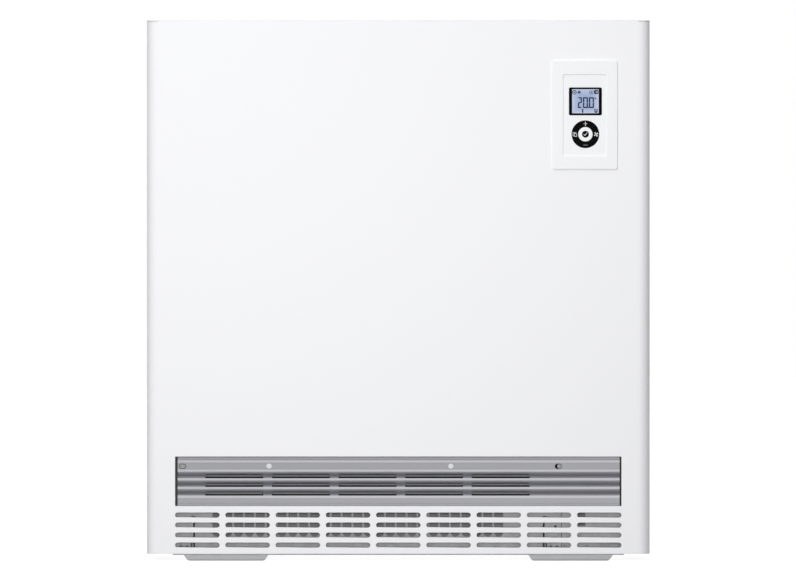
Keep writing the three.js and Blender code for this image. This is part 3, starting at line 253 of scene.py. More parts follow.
def pressed_grain_group():
    """Coarse and fine specks, for bricks, insulation, rubber and moulded parts."""
    tree = bpy.data.node_groups.new("pressed_grain", "ShaderNodeTree")
    given, out = group_sockets(
        tree,
        [("Colour", "NodeSocketColor", (0.3, 0.3, 0.3, 1)),
         ("Speck Scale", "NodeSocketFloat", 300.0),
         ("Contrast", "NodeSocketFloat", 0.3),
         ("Roughness", "NodeSocketFloat", 0.8)],
        [("Colour", "NodeSocketColor"), ("Roughness", "NodeSocketFloat"),
         ("Height", "NodeSocketFloat")])
    place = tree.nodes.new("ShaderNodeTexCoord").outputs["Object"]
    specks = noise(tree, place, given.outputs["Speck Scale"], 4.0)
    patches = noise(tree, place, 14.0, 3.0)
    both = maths(tree, "MULTIPLY", centred(tree, specks, given.outputs["Contrast"]),
                 centred(tree, patches, 0.12))
    colour = shade(tree, given.outputs["Colour"], both)
    rough = maths(tree, "MULTIPLY", given.outputs["Roughness"], centred(tree, specks, 0.2))
    tree.links.new(colour, out.inputs["Colour"])
    tree.links.new(rough, out.inputs["Roughness"])
    tree.links.new(specks, out.inputs["Height"])
    return tree


def finish(name):
    return bpy.data.materials[FINISH_PREFIX + name]


def surface(name, group, colour, roughness, metallic=0.0, bump=0.1, bump_mm=0.02, gloss=0.5,
            **values):
    """A Principled material whose colour, roughness and bump come from one shared group."""
    material = bpy.data.materials.new(FINISH_PREFIX + name)
    material.use_nodes = True
    tree = material.node_tree
    shader = tree.nodes["Principled BSDF"]
    effect = tree.nodes.new("ShaderNodeGroup")
    effect.node_tree = bpy.data.node_groups[group]
    effect.inputs["Colour"].default_value = (*colour, 1.0)
    effect.inputs["Roughness"].default_value = roughness
    for key, value in values.items():
        effect.inputs[key.replace("_", " ").title()].default_value = value
    height = tree.nodes.new("ShaderNodeBump")
    height.inputs["Strength"].default_value = bump
    height.inputs["Distance"].default_value = bump_mm * MM
    tree.links.new(effect.outputs["Colour"], shader.inputs["Base Color"])
    tree.links.new(effect.outputs["Roughness"], shader.inputs["Roughness"])
    tree.links.new(effect.outputs["Height"], height.inputs["Height"])
    tree.links.new(height.outputs["Normal"], shader.inputs["Normal"])
    shader.inputs["Metallic"].default_value = metallic
    shader.inputs["Specular IOR Level"].default_value = gloss
    return material


def crystal_material(colour):
    """The lit display: bluish, paler towards its rim, with fine specks."""
    material = surface("liquid_crystal", "pressed_grain", colour, 0.12, bump=0.02,
                       gloss=0.2, speck_scale=2600.0, contrast=0.05)
    tree = material.node_tree
    shader = tree.nodes["Principled BSDF"]
    low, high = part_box("display_screen")
    middle = (low + high) / 2
    place = tree.nodes.new("ShaderNodeTexCoord").outputs["Object"]
    centre = tree.nodes.new("ShaderNodeMapping")
    centre.inputs["Location"].default_value = (-middle.x, 0, -middle.z)
    tree.links.new(place, centre.inputs["Vector"])
    axes = tree.nodes.new("ShaderNodeSeparateXYZ")
    tree.links.new(centre.outputs["Vector"], axes.inputs["Vector"])
    across = maths(tree, "ABSOLUTE", axes.outputs["X"], 0.0)
    up = maths(tree, "ABSOLUTE", axes.outputs["Z"], 0.0)
    rim = maths(tree, "MAXIMUM",
                maths(tree, "DIVIDE", across, (high.x - low.x) / 2),
                maths(tree, "DIVIDE", up, (high.z - low.z) / 2))
    lift = maths(tree, "POWER", rim, 3.0)
    paler = tree.nodes.new("ShaderNodeMix")
    paler.data_type = "RGBA"
    effect = next(n for n in tree.nodes if n.type == "GROUP")
    tree.links.new(lift, paler.inputs["Factor"])
    tree.links.new(effect.outputs["Colour"], paler.inputs["A"])
    paler.inputs["B"].default_value = (*(0.28 + 0.75 * part for part in colour), 1)
    tree.links.new(paler.outputs["Result"], shader.inputs["Base Color"])
    tree.links.new(paler.outputs["Result"], shader.inputs["Emission Color"])
    shader.inputs["Emission Strength"].default_value = 0.12
    return material


MESH_PITCH_MM = 1.2


def mesh_material():
    """The lint filter: a fine woven mesh drawn as a grid of darker holes."""
    material = surface("filter_mesh", "pressed_grain", (0.25, 0.25, 0.256), 0.85,
                       bump=0.2, gloss=0.15, speck_scale=900.0, contrast=0.15)
    tree = material.node_tree
    shader = tree.nodes["Principled BSDF"]
    effect = next(n for n in tree.nodes if n.type == "GROUP")
    axes = tree.nodes.new("ShaderNodeSeparateXYZ")
    tree.links.new(tree.nodes.new("ShaderNodeTexCoord").outputs["Object"], axes.inputs["Vector"])
    pitch = MESH_PITCH_MM * MM
    wires = []
    for axis in ("X", "Z"):
        phase = maths(tree, "FRACT", maths(tree, "DIVIDE", axes.outputs[axis], pitch), 0.0)
        wires.append(maths(tree, "GREATER_THAN", phase, 0.45))
    wire = maths(tree, "MULTIPLY", wires[0], wires[1])
    factor = maths(tree, "SUBTRACT", 1.0, maths(tree, "MULTIPLY", wire, 0.35))
    tree.links.new(shade(tree, effect.outputs["Colour"], factor), shader.inputs["Base Color"])


# How far from the front the noses turn paler, the height of the plain lip, and by how much: a painted
# highlight along the grille's noses
NOSE_START_MM, NOSE_FULL_MM = 0.7, 0.1
PLAIN_LIP_MM = 4.5
NOSE_HIGHLIGHT_GAIN = 1.42


def grille_material(colour):
    """Anodised aluminium whose noses are painted paler: a painted highlight along each nose."""
    material = surface("grille_aluminium", "rolled_metal", colour, 0.34, 1.0,
                       bump=0.05, grain=0.06, spangle=0.0, spangle_scale=20.0)
    tree = material.node_tree
    shader = tree.nodes["Principled BSDF"]
    effect = next(n for n in tree.nodes if n.type == "GROUP")
    low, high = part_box("outlet_grille")
    axes = tree.nodes.new("ShaderNodeSeparateXYZ")
    tree.links.new(tree.nodes.new("ShaderNodeTexCoord").outputs["Object"], axes.inputs["Vector"])
    # Painted highlight: the colour turns paler on the foremost part of each nose, above the plain lip
    proud = tree.nodes.new("ShaderNodeMapRange")
    proud.interpolation_type = "SMOOTHSTEP"
    proud.inputs["From Min"].default_value = low.y + NOSE_START_MM * MM
    proud.inputs["From Max"].default_value = low.y + NOSE_FULL_MM * MM
    tree.links.new(axes.outputs["Y"], proud.inputs["Value"])
    above_lip = maths(tree, "GREATER_THAN", axes.outputs["Z"], low.z + PLAIN_LIP_MM * MM)
    painted_highlight = maths(tree, "MULTIPLY", proud.outputs["Result"], above_lip)
    paler = tree.nodes.new("ShaderNodeMix")
    paler.data_type = "RGBA"
    tree.links.new(painted_highlight, paler.inputs["Factor"])
    tree.links.new(effect.outputs["Colour"], paler.inputs["A"])
    paler.inputs["B"].default_value = (*(NOSE_HIGHLIGHT_GAIN * part for part in colour), 1)
    tree.links.new(paler.outputs["Result"], shader.inputs["Base Color"])


# Modelling helpers

def start_fresh():
    if bpy.context.object and bpy.context.object.mode != "OBJECT":
        bpy.ops.object.mode_set(mode="OBJECT")
    bpy.ops.object.select_all(action="DESELECT")


def pick(piece):
    start_fresh()
    piece.select_set(True)
    bpy.context.view_layer.objects.active = piece


def coat(piece, material):
    piece.data.materials.clear()
    piece.data.materials.append(material)


def settle(piece, body, material):
    """Place goes into the mesh, then the piece gets its finish and its body."""
    pick(piece)
    bpy.ops.object.transform_apply(location=True, rotation=True, scale=True)
    coat(piece, finish(material))
    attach(piece, body)
    return piece


def weigh_long_edges(piece, shortest, angle):
    """Mark the sharp edges that run on for longer than the given length."""
    mesh = bmesh.new()
    mesh.from_mesh(piece.data)
    weights = mesh.edges.layers.float.new("bevel_weight_edge")
    for edge in mesh.edges:
        sharp = edge.calc_face_angle(0.0) > math.radians(angle)
        edge[weights] = 1.0 if sharp and edge.calc_length() > shortest else 0.0
    mesh.to_mesh(piece.data)
    mesh.free()


def soften(piece, width_mm, segments=2, angle=32.0, smooth=38.0, longer_than=0.0, clamp=True):
    """Round the sharp edges, then shade by face area so that flat faces stay flat."""
    pick(piece)
    if width_mm > 0:
        bevel = piece.modifiers.new("edges", "BEVEL")
        bevel.width = width_mm * MM
        bevel.segments = segments
        bevel.use_clamp_overlap = clamp
        bevel.angle_limit = math.radians(angle)
        bevel.limit_method = "ANGLE"
        if longer_than > 0:
            weigh_long_edges(piece, longer_than, angle)
            bevel.limit_method = "WEIGHT"
        bpy.ops.object.modifier_apply(modifier="edges")
    bpy.ops.object.shade_smooth_by_angle(angle=math.radians(smooth))
    weights = piece.modifiers.new("weights", "WEIGHTED_NORMAL")
    weights.weight = 90
    weights.keep_sharp = True
    bpy.ops.object.modifier_apply(modifier="weights")


def round_front_rim(piece, inside, width_mm, segments=3):
    """Round the edges of the front face that lie inside the given rectangle, in metres."""
    x0, x1, z0, z1 = inside
    front = min(spot.co.y for spot in piece.data.vertices) + 0.01 * MM
    pick(piece)
    bpy.ops.object.mode_set(mode="EDIT")
    bpy.ops.mesh.select_all(action="DESELECT")
    mesh = bmesh.from_edit_mesh(piece.data)
    for edge in mesh.edges:
        ends = [spot.co for spot in edge.verts]
        on_rim = all(co.y < front and x0 < co.x < x1 and z0 < co.z < z1 for co in ends)
        edge.select = on_rim and edge.calc_face_angle(0.0) > math.radians(60)
    bmesh.update_edit_mesh(piece.data)
    bpy.ops.mesh.bevel(offset=width_mm * MM, segments=segments, affect="EDGES")
    bpy.ops.object.mode_set(mode="OBJECT")


def dressed(node, material, slot, width_mm=0.3, segments=2, rim=None, **edges):
    """A joined-up copy of a CAD node with rounded edges, kept inside the node's box."""
    start_fresh()
    source = frame["nodes"][node]
    piece = bpy.data.objects.new(node + "_skin", source.data.copy())
    bpy.context.scene.collection.objects.link(piece)
    pick(piece)
    bpy.ops.mesh.customdata_custom_splitnormals_clear()
    bpy.ops.object.mode_set(mode="EDIT")
    bpy.ops.mesh.select_all(action="SELECT")
    bpy.ops.mesh.remove_doubles(threshold=2e-6)
    bpy.ops.mesh.dissolve_limited(angle_limit=math.radians(0.6))
    bpy.ops.mesh.quads_convert_to_tris(quad_method="BEAUTY", ngon_method="BEAUTY")
    bpy.ops.object.mode_set(mode="OBJECT")
    if rim:
        round_front_rim(piece, *rim)
    soften(piece, width_mm, segments, **edges)
    low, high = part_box(node)
    for spot in piece.data.vertices:
        spot.co = [min(max(part, least), most)
                   for part, least, most in zip(spot.co, low, high)]
    body = source["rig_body"]
    settle(piece, body, material)
    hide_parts(node)
    return piece


def flat_symbol(name, outlines, face_y, body, material, lift_mm=0.05):
    """A thin printed shape on an upright face. Outlines are lists of (x, z) in millimetres."""
    start_fresh()
    curve = bpy.data.curves.new(name, "CURVE")
    curve.dimensions = "2D"
    curve.fill_mode = "BOTH"
    curve.extrude = lift_mm * MM / 2
    for outline in outlines:
        line = curve.splines.new("POLY")
        line.points.add(len(outline) - 1)
        for spot, (x, z) in zip(line.points, outline):
            spot.co = (x * MM, z * MM, 0, 1)
        line.use_cyclic_u = True
    piece = bpy.data.objects.new(name, curve)
    bpy.context.scene.collection.objects.link(piece)
    pick(piece)
    bpy.ops.object.convert(target="MESH")
    piece = bpy.context.object
    piece.rotation_euler = (math.pi / 2, 0, 0)
    piece.location = (0, face_y - lift_mm * MM / 2 + 0.004 * MM, 0)
    return settle(piece, body, material)


def joined(name, pieces):
    start_fresh()
    for piece in pieces:
        piece.select_set(True)
    bpy.context.view_layer.objects.active = pieces[0]
    bpy.ops.object.join()
    pieces[0].name = name
    return pieces[0]


def board(name, low, high, slot, material, border_mm=1.0, depth_mm=0.2):
    """A thin board in the casing with a pressed-in middle, between two corners in millimetres."""
    start_fresh()
    middle = [(a + b) / 2 * MM for a, b in zip(low, high)]
    bpy.ops.mesh.primitive_cube_add(size=1, location=middle)
    piece = bpy.context.object
    piece.name = name
    piece.scale = [(b - a) * MM for a, b in zip(low, high)]
    bpy.ops.object.transform_apply(location=True, scale=True)
    bpy.ops.object.mode_set(mode="EDIT")
    bpy.ops.mesh.select_all(action="DESELECT")
    mesh = bmesh.from_edit_mesh(piece.data)
    for face in mesh.faces:
        face.select = face.normal.y < -0.9
    bmesh.update_edit_mesh(piece.data)
    bpy.ops.mesh.inset(thickness=border_mm * MM)
    bpy.ops.transform.translate(value=(0, depth_mm * MM, 0))
    bpy.ops.object.mode_set(mode="OBJECT")
    soften(piece, 0.1, 2)
    return settle(piece, "casing", material)


# Outlines for the symbols, in millimetres

def circle(x, z, radius, count=28, start=0.0, end=2 * math.pi):
    closed = abs(end - start - 2 * math.pi) < 1e-6
    steps = count if closed else count - 1
    return [(x + radius * math.cos(start + (end - start) * i / steps),
             z + radius * math.sin(start + (end - start) * i / steps)) for i in range(count)]


def bar(x0, z0, x1, z1, width):
    length = math.hypot(x1 - x0, z1 - z0)
    nx, nz = -(z1 - z0) / length * width / 2, (x1 - x0) / length * width / 2
    return [(x0 + nx, z0 + nz), (x0 - nx, z0 - nz), (x1 - nx, z1 - nz), (x1 + nx, z1 + nz)]


def box_outline(x, z, width, height, corner=0.4, steps=3):
    spots = []
    for sx, sz, turn in ((1, 1, 0), (-1, 1, 1), (-1, -1, 2), (1, -1, 3)):
        cx, cz = x + sx * (width / 2 - corner), z + sz * (height / 2 - corner)
        for i in range(steps + 1):
            a = (turn + i / steps) * math.pi / 2
            spots.append((cx + corner * math.cos(a), cz + corner * math.sin(a)))
    return spots


LIT_SEGMENTS = {"2": "abged", "0": "abcdef"}


def digit(character, x, z, width, height, stroke):
    """The lit segments of one digit, mitred at the corners, from its lower left corner (x, z)."""
    gap = 0.06
    right, top = x + width, z + height
    mid, half = z + height / 2, stroke / 2
    inner_left, inner_right = x + stroke, right - stroke
    shapes = {
        "a": [(x + gap, top), (inner_left + gap, top - stroke), (inner_right - gap, top - stroke),
              (right - gap, top)],
        "d": [(x + gap, z), (right - gap, z), (inner_right - gap, z + stroke),
              (inner_left + gap, z + stroke)],
        "g": [(x + half, mid), (inner_left, mid - half), (inner_right, mid - half),
              (right - half, mid), (inner_right, mid + half), (inner_left, mid + half)],
        "f": [(x, top - gap), (x, mid + gap), (x + half, mid + gap), (inner_left, mid + half + gap),
              (inner_left, top - stroke - gap)],
        "e": [(x, mid - gap), (x, z + gap), (inner_left, z + stroke + gap),
              (inner_left, mid - half - gap), (x + half, mid - gap)],
        "b": [(right, top - gap), (inner_right, top - stroke - gap),
              (inner_right, mid + half + gap), (right - half, mid + gap), (right, mid + gap)],
        "c": [(right, mid - gap), (right - half, mid - gap), (inner_right, mid - half - gap),
              (inner_right, z + stroke + gap), (right, z + gap)],
    }
    return [shapes[key] for key in LIT_SEGMENTS[character]]


# Operators

class HEATER_OT_materials(bpy.types.Operator):
    """Make the shared effects and every finish"""
    bl_idname = "heater.materials"
    bl_label = "Materials"

    def execute(self, context):
        paint = context.scene.heater_paint
        metal = context.scene.heater_metal
        powder_coat_group()
        rolled_metal_group()
        pressed_grain_group()
        surface("white_powder_coat", "powder_coat", paint.paint, paint.paint_roughness,
                bump=0.05, bump_mm=0.02, cloudiness=0.012, peel_scale=850.0)
        surface("foot_powder_coat", "powder_coat", paint.foot_paint, 0.55,
                bump=0.1, gloss=0.3, cloudiness=0.06, peel_scale=700.0)
        surface("white_moulding", "powder_coat", paint.frame_plastic, 0.34,
                bump=0.04, bump_mm=0.015, cloudiness=0.01, peel_scale=2400.0)
        surface("black_moulding", "powder_coat", paint.key_plastic, 0.3,
                bump=0.03, gloss=0.02, cloudiness=0.1, peel_scale=2600.0)
        surface("anodised_aluminium", "rolled_metal", metal.aluminium, 0.34, 1.0,
                bump=0.05, grain=0.06, spangle=0.0, spangle_scale=20.0)
        grille_material(metal.aluminium)
        # A paler, matt copy of the grille aluminium for the lips: painted light, where the metal lips
        # would mirror the dark inside
        surface("window_lip", "rolled_metal", [1.1 * part for part in metal.aluminium], 0.6, 0.0,
                bump=0.05, gloss=0.2, grain=0.06, spangle=0.0, spangle_scale=20.0)
        surface("galvanised_sheet", "rolled_metal", metal.galvanised, 0.42, 0.6,
                bump=0.05, grain=0.10, spangle=0.16, spangle_scale=110.0)
        surface("tray_sheet", "rolled_metal", [1.25 * part for part in metal.galvanised], 0.42,
                0.6, bump=0.05, grain=0.10, spangle=0.16, spangle_scale=110.0)
        # Near black: the painted shadow round the rims of the finger holes
        surface("collar", "pressed_grain", (0.03, 0.03, 0.032), 0.6,
                bump=0.1, gloss=0.1, speck_scale=900.0, contrast=0.2)
        surface("seal_foam", "pressed_grain", (0.105, 0.105, 0.108), 0.9,
                bump=0.3, bump_mm=0.1, gloss=0.2, speck_scale=700.0, contrast=0.2)
        surface("fibre_board", "pressed_grain", (0.20, 0.20, 0.205), 0.9,
                bump=0.3, bump_mm=0.1, gloss=0.2, speck_scale=700.0, contrast=0.2)
        # A darker copy of the galvanised sheet: painted shade for the fan housing and flap inside
        surface("galvanised_painted_shade", "rolled_metal", [0.35 * part for part in metal.galvanised], 0.5, 0.5,
                bump=0.05, grain=0.10, spangle=0.16, spangle_scale=110.0)
        surface("zinc_screw", "rolled_metal", metal.bright, 0.5, 0.25,
                bump=0.04, grain=0.05, spangle=0.0, spangle_scale=20.0)
        mesh_material()
        surface("bright_steel", "rolled_metal", metal.bright, 0.24, 0.9,
                bump=0.04, grain=0.12, spangle=0.0, spangle_scale=20.0)
        surface("element_steel", "rolled_metal", (0.14, 0.12, 0.11), 0.5, 0.8,
                bump=0.08, grain=0.3, spangle=0.2, spangle_scale=60.0)
        surface("magnetite", "pressed_grain", (0.075, 0.060, 0.050), 0.92,
                bump=0.5, bump_mm=0.3, speck_scale=420.0, contrast=0.7)
        surface("mineral_board", "pressed_grain", (0.62, 0.58, 0.50), 0.95,
                bump=0.5, bump_mm=0.3, speck_scale=500.0, contrast=0.25)
        surface("circuit_board", "pressed_grain", (0.004, 0.007, 0.005), 0.45,
                bump=0.1, speck_scale=1500.0, contrast=0.3)
        surface("black_rubber", "pressed_grain", (0.012, 0.012, 0.013), 0.75,
                bump=0.2, bump_mm=0.05, speck_scale=900.0, contrast=0.3)
        surface("red_moulding", "powder_coat", (0.42, 0.02, 0.015), 0.4,
                bump=0.05, cloudiness=0.05, peel_scale=2000.0)
        surface("beige_thermoset", "pressed_grain", (0.60, 0.55, 0.43), 0.6,
                bump=0.15, bump_mm=0.05, speck_scale=900.0, contrast=0.12)
        surface("display_ink", "powder_coat", paint.ink, 0.4,
                bump=0.02, gloss=0.05, cloudiness=0.08, peel_scale=2600.0)
        surface("key_print", "powder_coat", (0.78, 0.78, 0.79), 0.45,
                bump=0.03, cloudiness=0.05, peel_scale=2600.0)
        surface("key_print_grey", "powder_coat", (0.10, 0.10, 0.102), 0.45,
                bump=0.03, cloudiness=0.05, peel_scale=2600.0)
        # Near black for the outlet duct, whose sheet is galvanised: painted shade for its unlit
        # inside
        surface("duct_painted_shade", "pressed_grain", (0.02, 0.02, 0.02), 0.8,
                bump=0.1, speck_scale=600.0, contrast=0.4)
        crystal_material(paint.crystal)
        return {"FINISHED"}


class HEATER_OT_casing(bpy.types.Operator):
    """Dress the painted casing, the feet and the back panel"""
    bl_idname = "heater.casing"
    bl_label = "Casing"

    def execute(self, context):
        dressed("front_panel", "white_powder_coat", "white_paint", 0.3, 2, clamp=False)
        dressed("top_cover", "white_powder_coat", "white_paint", 0.35, 3)
        dressed("left_side_panel", "white_powder_coat", "white_paint", 0.35, 2)
        dressed("right_side_panel", "white_powder_coat", "white_paint", 0.35, 2)
        dressed("back_panel", "galvanised_sheet", "galvanised_sheet", 0.25, 2)
        dressed("base_tray", "tray_sheet", "galvanised_sheet", 0.25, 2)
        dressed("left_foot", "foot_powder_coat", "foot_paint", 0.5, 3)
        dressed("right_foot", "foot_powder_coat", "foot_paint", 0.5, 3)
        return {"FINISHED"}


# The rows of windows in the grille, in millimetres, the lips bent inward above them, and the
# rings of painted shadow in the finger holes: width, height and corner radius outside and inside
WINDOW_COLUMNS = 5
WINDOW_FIRST_X = -197.12
WINDOW_PITCH = 80.06
WINDOW_WIDTH = 69.76
VALLEY_Z = (102.9, 92.47, 82.04)
LATCH_HOLE_X = (-259.4, 192.4)
LATCH_HOLE_Z = 113.6
SHADOW_RING_OUTSIDE = (8.5, 6.1, 3.0)
SHADOW_RING_INSIDE = (7.5, 5.1, 2.5)
SHADOW_RING_REAR_Y, SHADOW_RING_DEPTH = -87.0, 0.9
LIP_CENTRE = (-84.06, -0.73)
LIP_LENGTH, LIP_THICKNESS, LIP_TILT = 2.5, 0.5, 40.5


class HEATER_OT_grille(bpy.types.Operator):
    """Dress the outlet grille, its rail, screws and latches"""
    bl_idname = "heater.grille"
    bl_label = "Outlet grille"

    def execute(self, context):
        dressed("outlet_grille", "grille_aluminium", "anodised_aluminium", 0.4, 3,
                longer_than=0.3)
        dressed("grille_rail", "galvanised_sheet", "galvanised_sheet", 0.2, 2)
        for side in ("left", "right"):
            dressed("grille_screw_" + side, "zinc_screw", "bright_steel", 0.15, 2)
            dressed("grille_latch_" + side, "galvanised_sheet", "bright_steel", 0.15, 2)
        self.window_lips()
        self.latch_hole_shadows()
        return {"FINISHED"}

    def latch_hole_shadows(self):
        """Near-black rings that line the two oval finger holes in the fixing strip: painted shadow at
        their rims.
        """
        grille = frame["nodes"]["outlet_grille"]["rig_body"]
        for side, x in (("left", LATCH_HOLE_X[0]), ("right", LATCH_HOLE_X[1])):
            outer = box_outline(x, LATCH_HOLE_Z, *SHADOW_RING_OUTSIDE, 8)
            inner = box_outline(x, LATCH_HOLE_Z, *SHADOW_RING_INSIDE, 8)
            flat_symbol("latch_collar_" + side, [outer, inner], SHADOW_RING_REAR_Y * MM, grille,
                        "collar", SHADOW_RING_DEPTH)

    def window_lips(self):
        """The tongues of sheet left above the windows, one shaped and the rest copied."""
        start_fresh()
        bpy.ops.mesh.primitive_cube_add(size=1)
        lip = bpy.context.object
        lip.scale = ((WINDOW_WIDTH - 0.6) * MM, LIP_THICKNESS * MM, LIP_LENGTH * MM)
        bpy.ops.object.transform_apply(scale=True)
        bpy.ops.object.mode_set(mode="EDIT")
        bpy.ops.mesh.select_all(action="DESELECT")
        mesh = bmesh.from_edit_mesh(lip.data)
        for edge in mesh.edges:
            low = all(spot.co.z < 0 for spot in edge.verts)
            across = abs(edge.verts[0].co.y - edge.verts[1].co.y) > 0
            edge.select = low and across
        bmesh.update_edit_mesh(lip.data)
        bpy.ops.mesh.bevel(offset=0.7 * MM, segments=3, affect="EDGES")
        bpy.ops.object.mode_set(mode="OBJECT")
        lip.rotation_euler = (math.radians(LIP_TILT), 0, 0)
        lips = [lip]
        places = [(WINDOW_FIRST_X + i * WINDOW_PITCH, z) for z in VALLEY_Z
                  for i in range(WINDOW_COLUMNS)]
        for _ in places[1:]:
            pick(lip)
            bpy.ops.object.duplicate()
            lips.append(bpy.context.object)
        for (x, z), copy in zip(places, lips):
            copy.location = (x * MM, LIP_CENTRE[0] * MM, (z + LIP_CENTRE[1]) * MM)
        whole = joined("window_lips", lips)
        soften(whole, 0.06, 1)
        # The lips take the paler matt copy of the aluminium, which is painted light
        settle(whole, frame["nodes"]["outlet_grille"]["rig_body"],
               "window_lip")


# Boards behind the cable window and beside the grille, in millimetres
CABLE_BLANK = ((211, -81.8, 38), (230, -80.9, 61))
GAP_SEAL_X = {"left": -271.5, "right": 263}
GAP_SEAL_WIDTH = 8.5
GAP_SEAL_Y = (-82.6, -81.6)
GAP_SEAL_Z = (66, 125)


class HEATER_OT_inner_sheets(bpy.types.Operator):
    """Dress the sheets that show behind the intake slots and through the grille"""
    bl_idname = "heater.inner_sheets"
    bl_label = "Inner sheets"

    def execute(self, context):
        dressed("intake_guard", "galvanised_sheet", "galvanised_sheet", 0.15, 1)
        # The duct is coated near black: painted shade behind the grille windows
        dressed("outlet_duct", "duct_painted_shade", "galvanised_sheet", 0.15, 1)
        dressed("lint_filter", "filter_mesh", "filter_mesh", 0.2, 1)
        board("cable_blank", *CABLE_BLANK, "galvanised_sheet", "fibre_board")
        for side, x in GAP_SEAL_X.items():
            low = (x, GAP_SEAL_Y[0], GAP_SEAL_Z[0])
            high = (x + GAP_SEAL_WIDTH, GAP_SEAL_Y[1], GAP_SEAL_Z[1])
            board("gap_seal_" + side, low, high, "galvanised_sheet", "seal_foam")
        return {"FINISHED"}


class HEATER_OT_control(bpy.types.Operator):
    """Dress the control unit's frame, fascia, bezel, display and keys"""
    bl_idname = "heater.control"
    bl_label = "Control unit"

    def execute(self, context):
        low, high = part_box("control_fascia")
        opening = (low.x, high.x, low.z, high.z)
        dressed("control_frame", "white_moulding", "white_plastic", 0.2, 2, rim=(opening, 0.7))
        dressed("control_fascia", "white_moulding", "white_plastic", 0.15, 2)
        dressed("display_bezel", "black_moulding", "black_plastic", 0.15, 2)
        dressed("display_screen", "liquid_crystal", "display_glass", 0.1, 1)
        for key in ("fan_key", "plus_key", "menu_key", "minus_key"):
            dressed(key, "black_moulding", "black_plastic", 0.12, 2)
        dressed("ok_key", "white_moulding", "white_plastic", 0.0)
        return {"FINISHED"}


class HEATER_OT_display_symbols(bpy.types.Operator):
    """Draw the temperature and the small symbols on the display"""
    bl_idname = "heater.display_symbols"
    bl_label = "Display symbols"

    def execute(self, context):
        low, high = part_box("display_screen")
        face = low.y
        cx = (low.x + high.x) / 2 / MM
        cz = (low.z + high.z) / 2 / MM
        shapes = [self.digits(cx, cz)]
        shapes += self.clock(cx - 13.3, cz + 10.8)
        shapes += self.sun(cx - 7.5, cz + 10.8)
        shapes += self.dial(cx + 7.1, cz + 10.8)
        shapes += self.page(cx + 13.0, cz + 11.2)
        shapes += self.arrows(cx - 3.3, cz - 11.6)
        shapes += self.shield(cx + 12.7, cz - 11.6)
        made = [flat_symbol(f"symbol_{i}", shape, face, "casing", "display_ink")
                for i, shape in enumerate(shapes)]
        joined("display_symbols", made)
        return {"FINISHED"}

    def digits(self, cx, cz):
        base = cz - 8.2
        shapes = []
        for character, left, width in (("2", -9.0, 4.7), ("0", -2.9, 5.9), ("0", 4.3, 5.9)):
            shapes += digit(character, cx + left, base, width, 13.0, 1.5)
        shapes.append(circle(cx + 3.85, base + 0.75, 0.75, 12))
        shapes.append(circle(cx + 12.0, base + 11.6, 1.1, 16))
        shapes.append(circle(cx + 12.0, base + 11.6, 0.45, 12))
        return shapes

    def clock(self, x, z):
        return [[circle(x, z, 2.7), circle(x, z, 1.95)],
                [bar(x, z - 0.9, x + 1.2, z + 1.2, 0.75)],
                [bar(x + 0.2, z - 0.9, x - 1.1, z + 1.0, 0.75)]]

    def sun(self, x, z):
        rays = []
        for i in range(8):
            turn = i * math.pi / 4
            rays.append([bar(x + 1.3 * math.cos(turn), z + 1.3 * math.sin(turn),
                             x + 2.2 * math.cos(turn), z + 2.2 * math.sin(turn), 0.6)])
        return [[circle(x, z, 1.35), circle(x, z, 0.4, 10)], *rays]

    def dial(self, x, z):
        dashes = []
        for i in range(9):
            turn = i * 2 * math.pi / 9
            dashes.append([bar(x + 2.15 * math.cos(turn), z + 2.15 * math.sin(turn),
                               x + 2.15 * math.cos(turn + 0.42), z + 2.15 * math.sin(turn + 0.42),
                               0.8)])
        return [*dashes, [bar(x - 0.1, z - 1.0, x + 0.3, z + 1.1, 0.8)]]

    def page(self, x, z):
        return [[box_outline(x, z, 5.2, 5.0, 1.2), box_outline(x + 0.6, z + 0.1, 2.4, 2.6, 0.3)],
                [box_outline(x + 0.6, z + 0.6, 1.8, 0.5, 0.1)],
                [box_outline(x + 0.6, z - 0.4, 1.8, 0.5, 0.1)]]

    def arrows(self, x, z):
        body = [(x - 0.5, z - 0.8), (x + 0.5, z - 0.8), (x + 0.5, z + 0.8), (x - 0.5, z + 0.8)]
        up = [(x - 1.4, z + 0.7), (x + 1.4, z + 0.7), (x + 0.3, z + 2.5), (x - 0.3, z + 2.5)]
        down = [(x - 1.4, z - 0.7), (x - 0.3, z - 2.5), (x + 0.3, z - 2.5), (x + 1.4, z - 0.7)]
        return [[body], [up], [down]]

    def shield(self, x, z):
        outer = [(x - 2.1, z + 2.2), (x + 2.1, z + 2.2), (x + 2.1, z - 0.4), (x + 1.3, z - 2.2),
                 (x - 1.3, z - 2.2), (x - 2.1, z - 0.4)]
        inner = [(x - 1.5, z + 1.6), (x + 1.5, z + 1.6), (x + 1.5, z - 0.5), (x - 1.5, z - 0.5)]
        return [[outer, inner], [box_outline(x, z - 1.4, 1.0, 0.5, 0.1)],
                [box_outline(x, z + 0.6, 1.5, 1.0, 0.2)]]


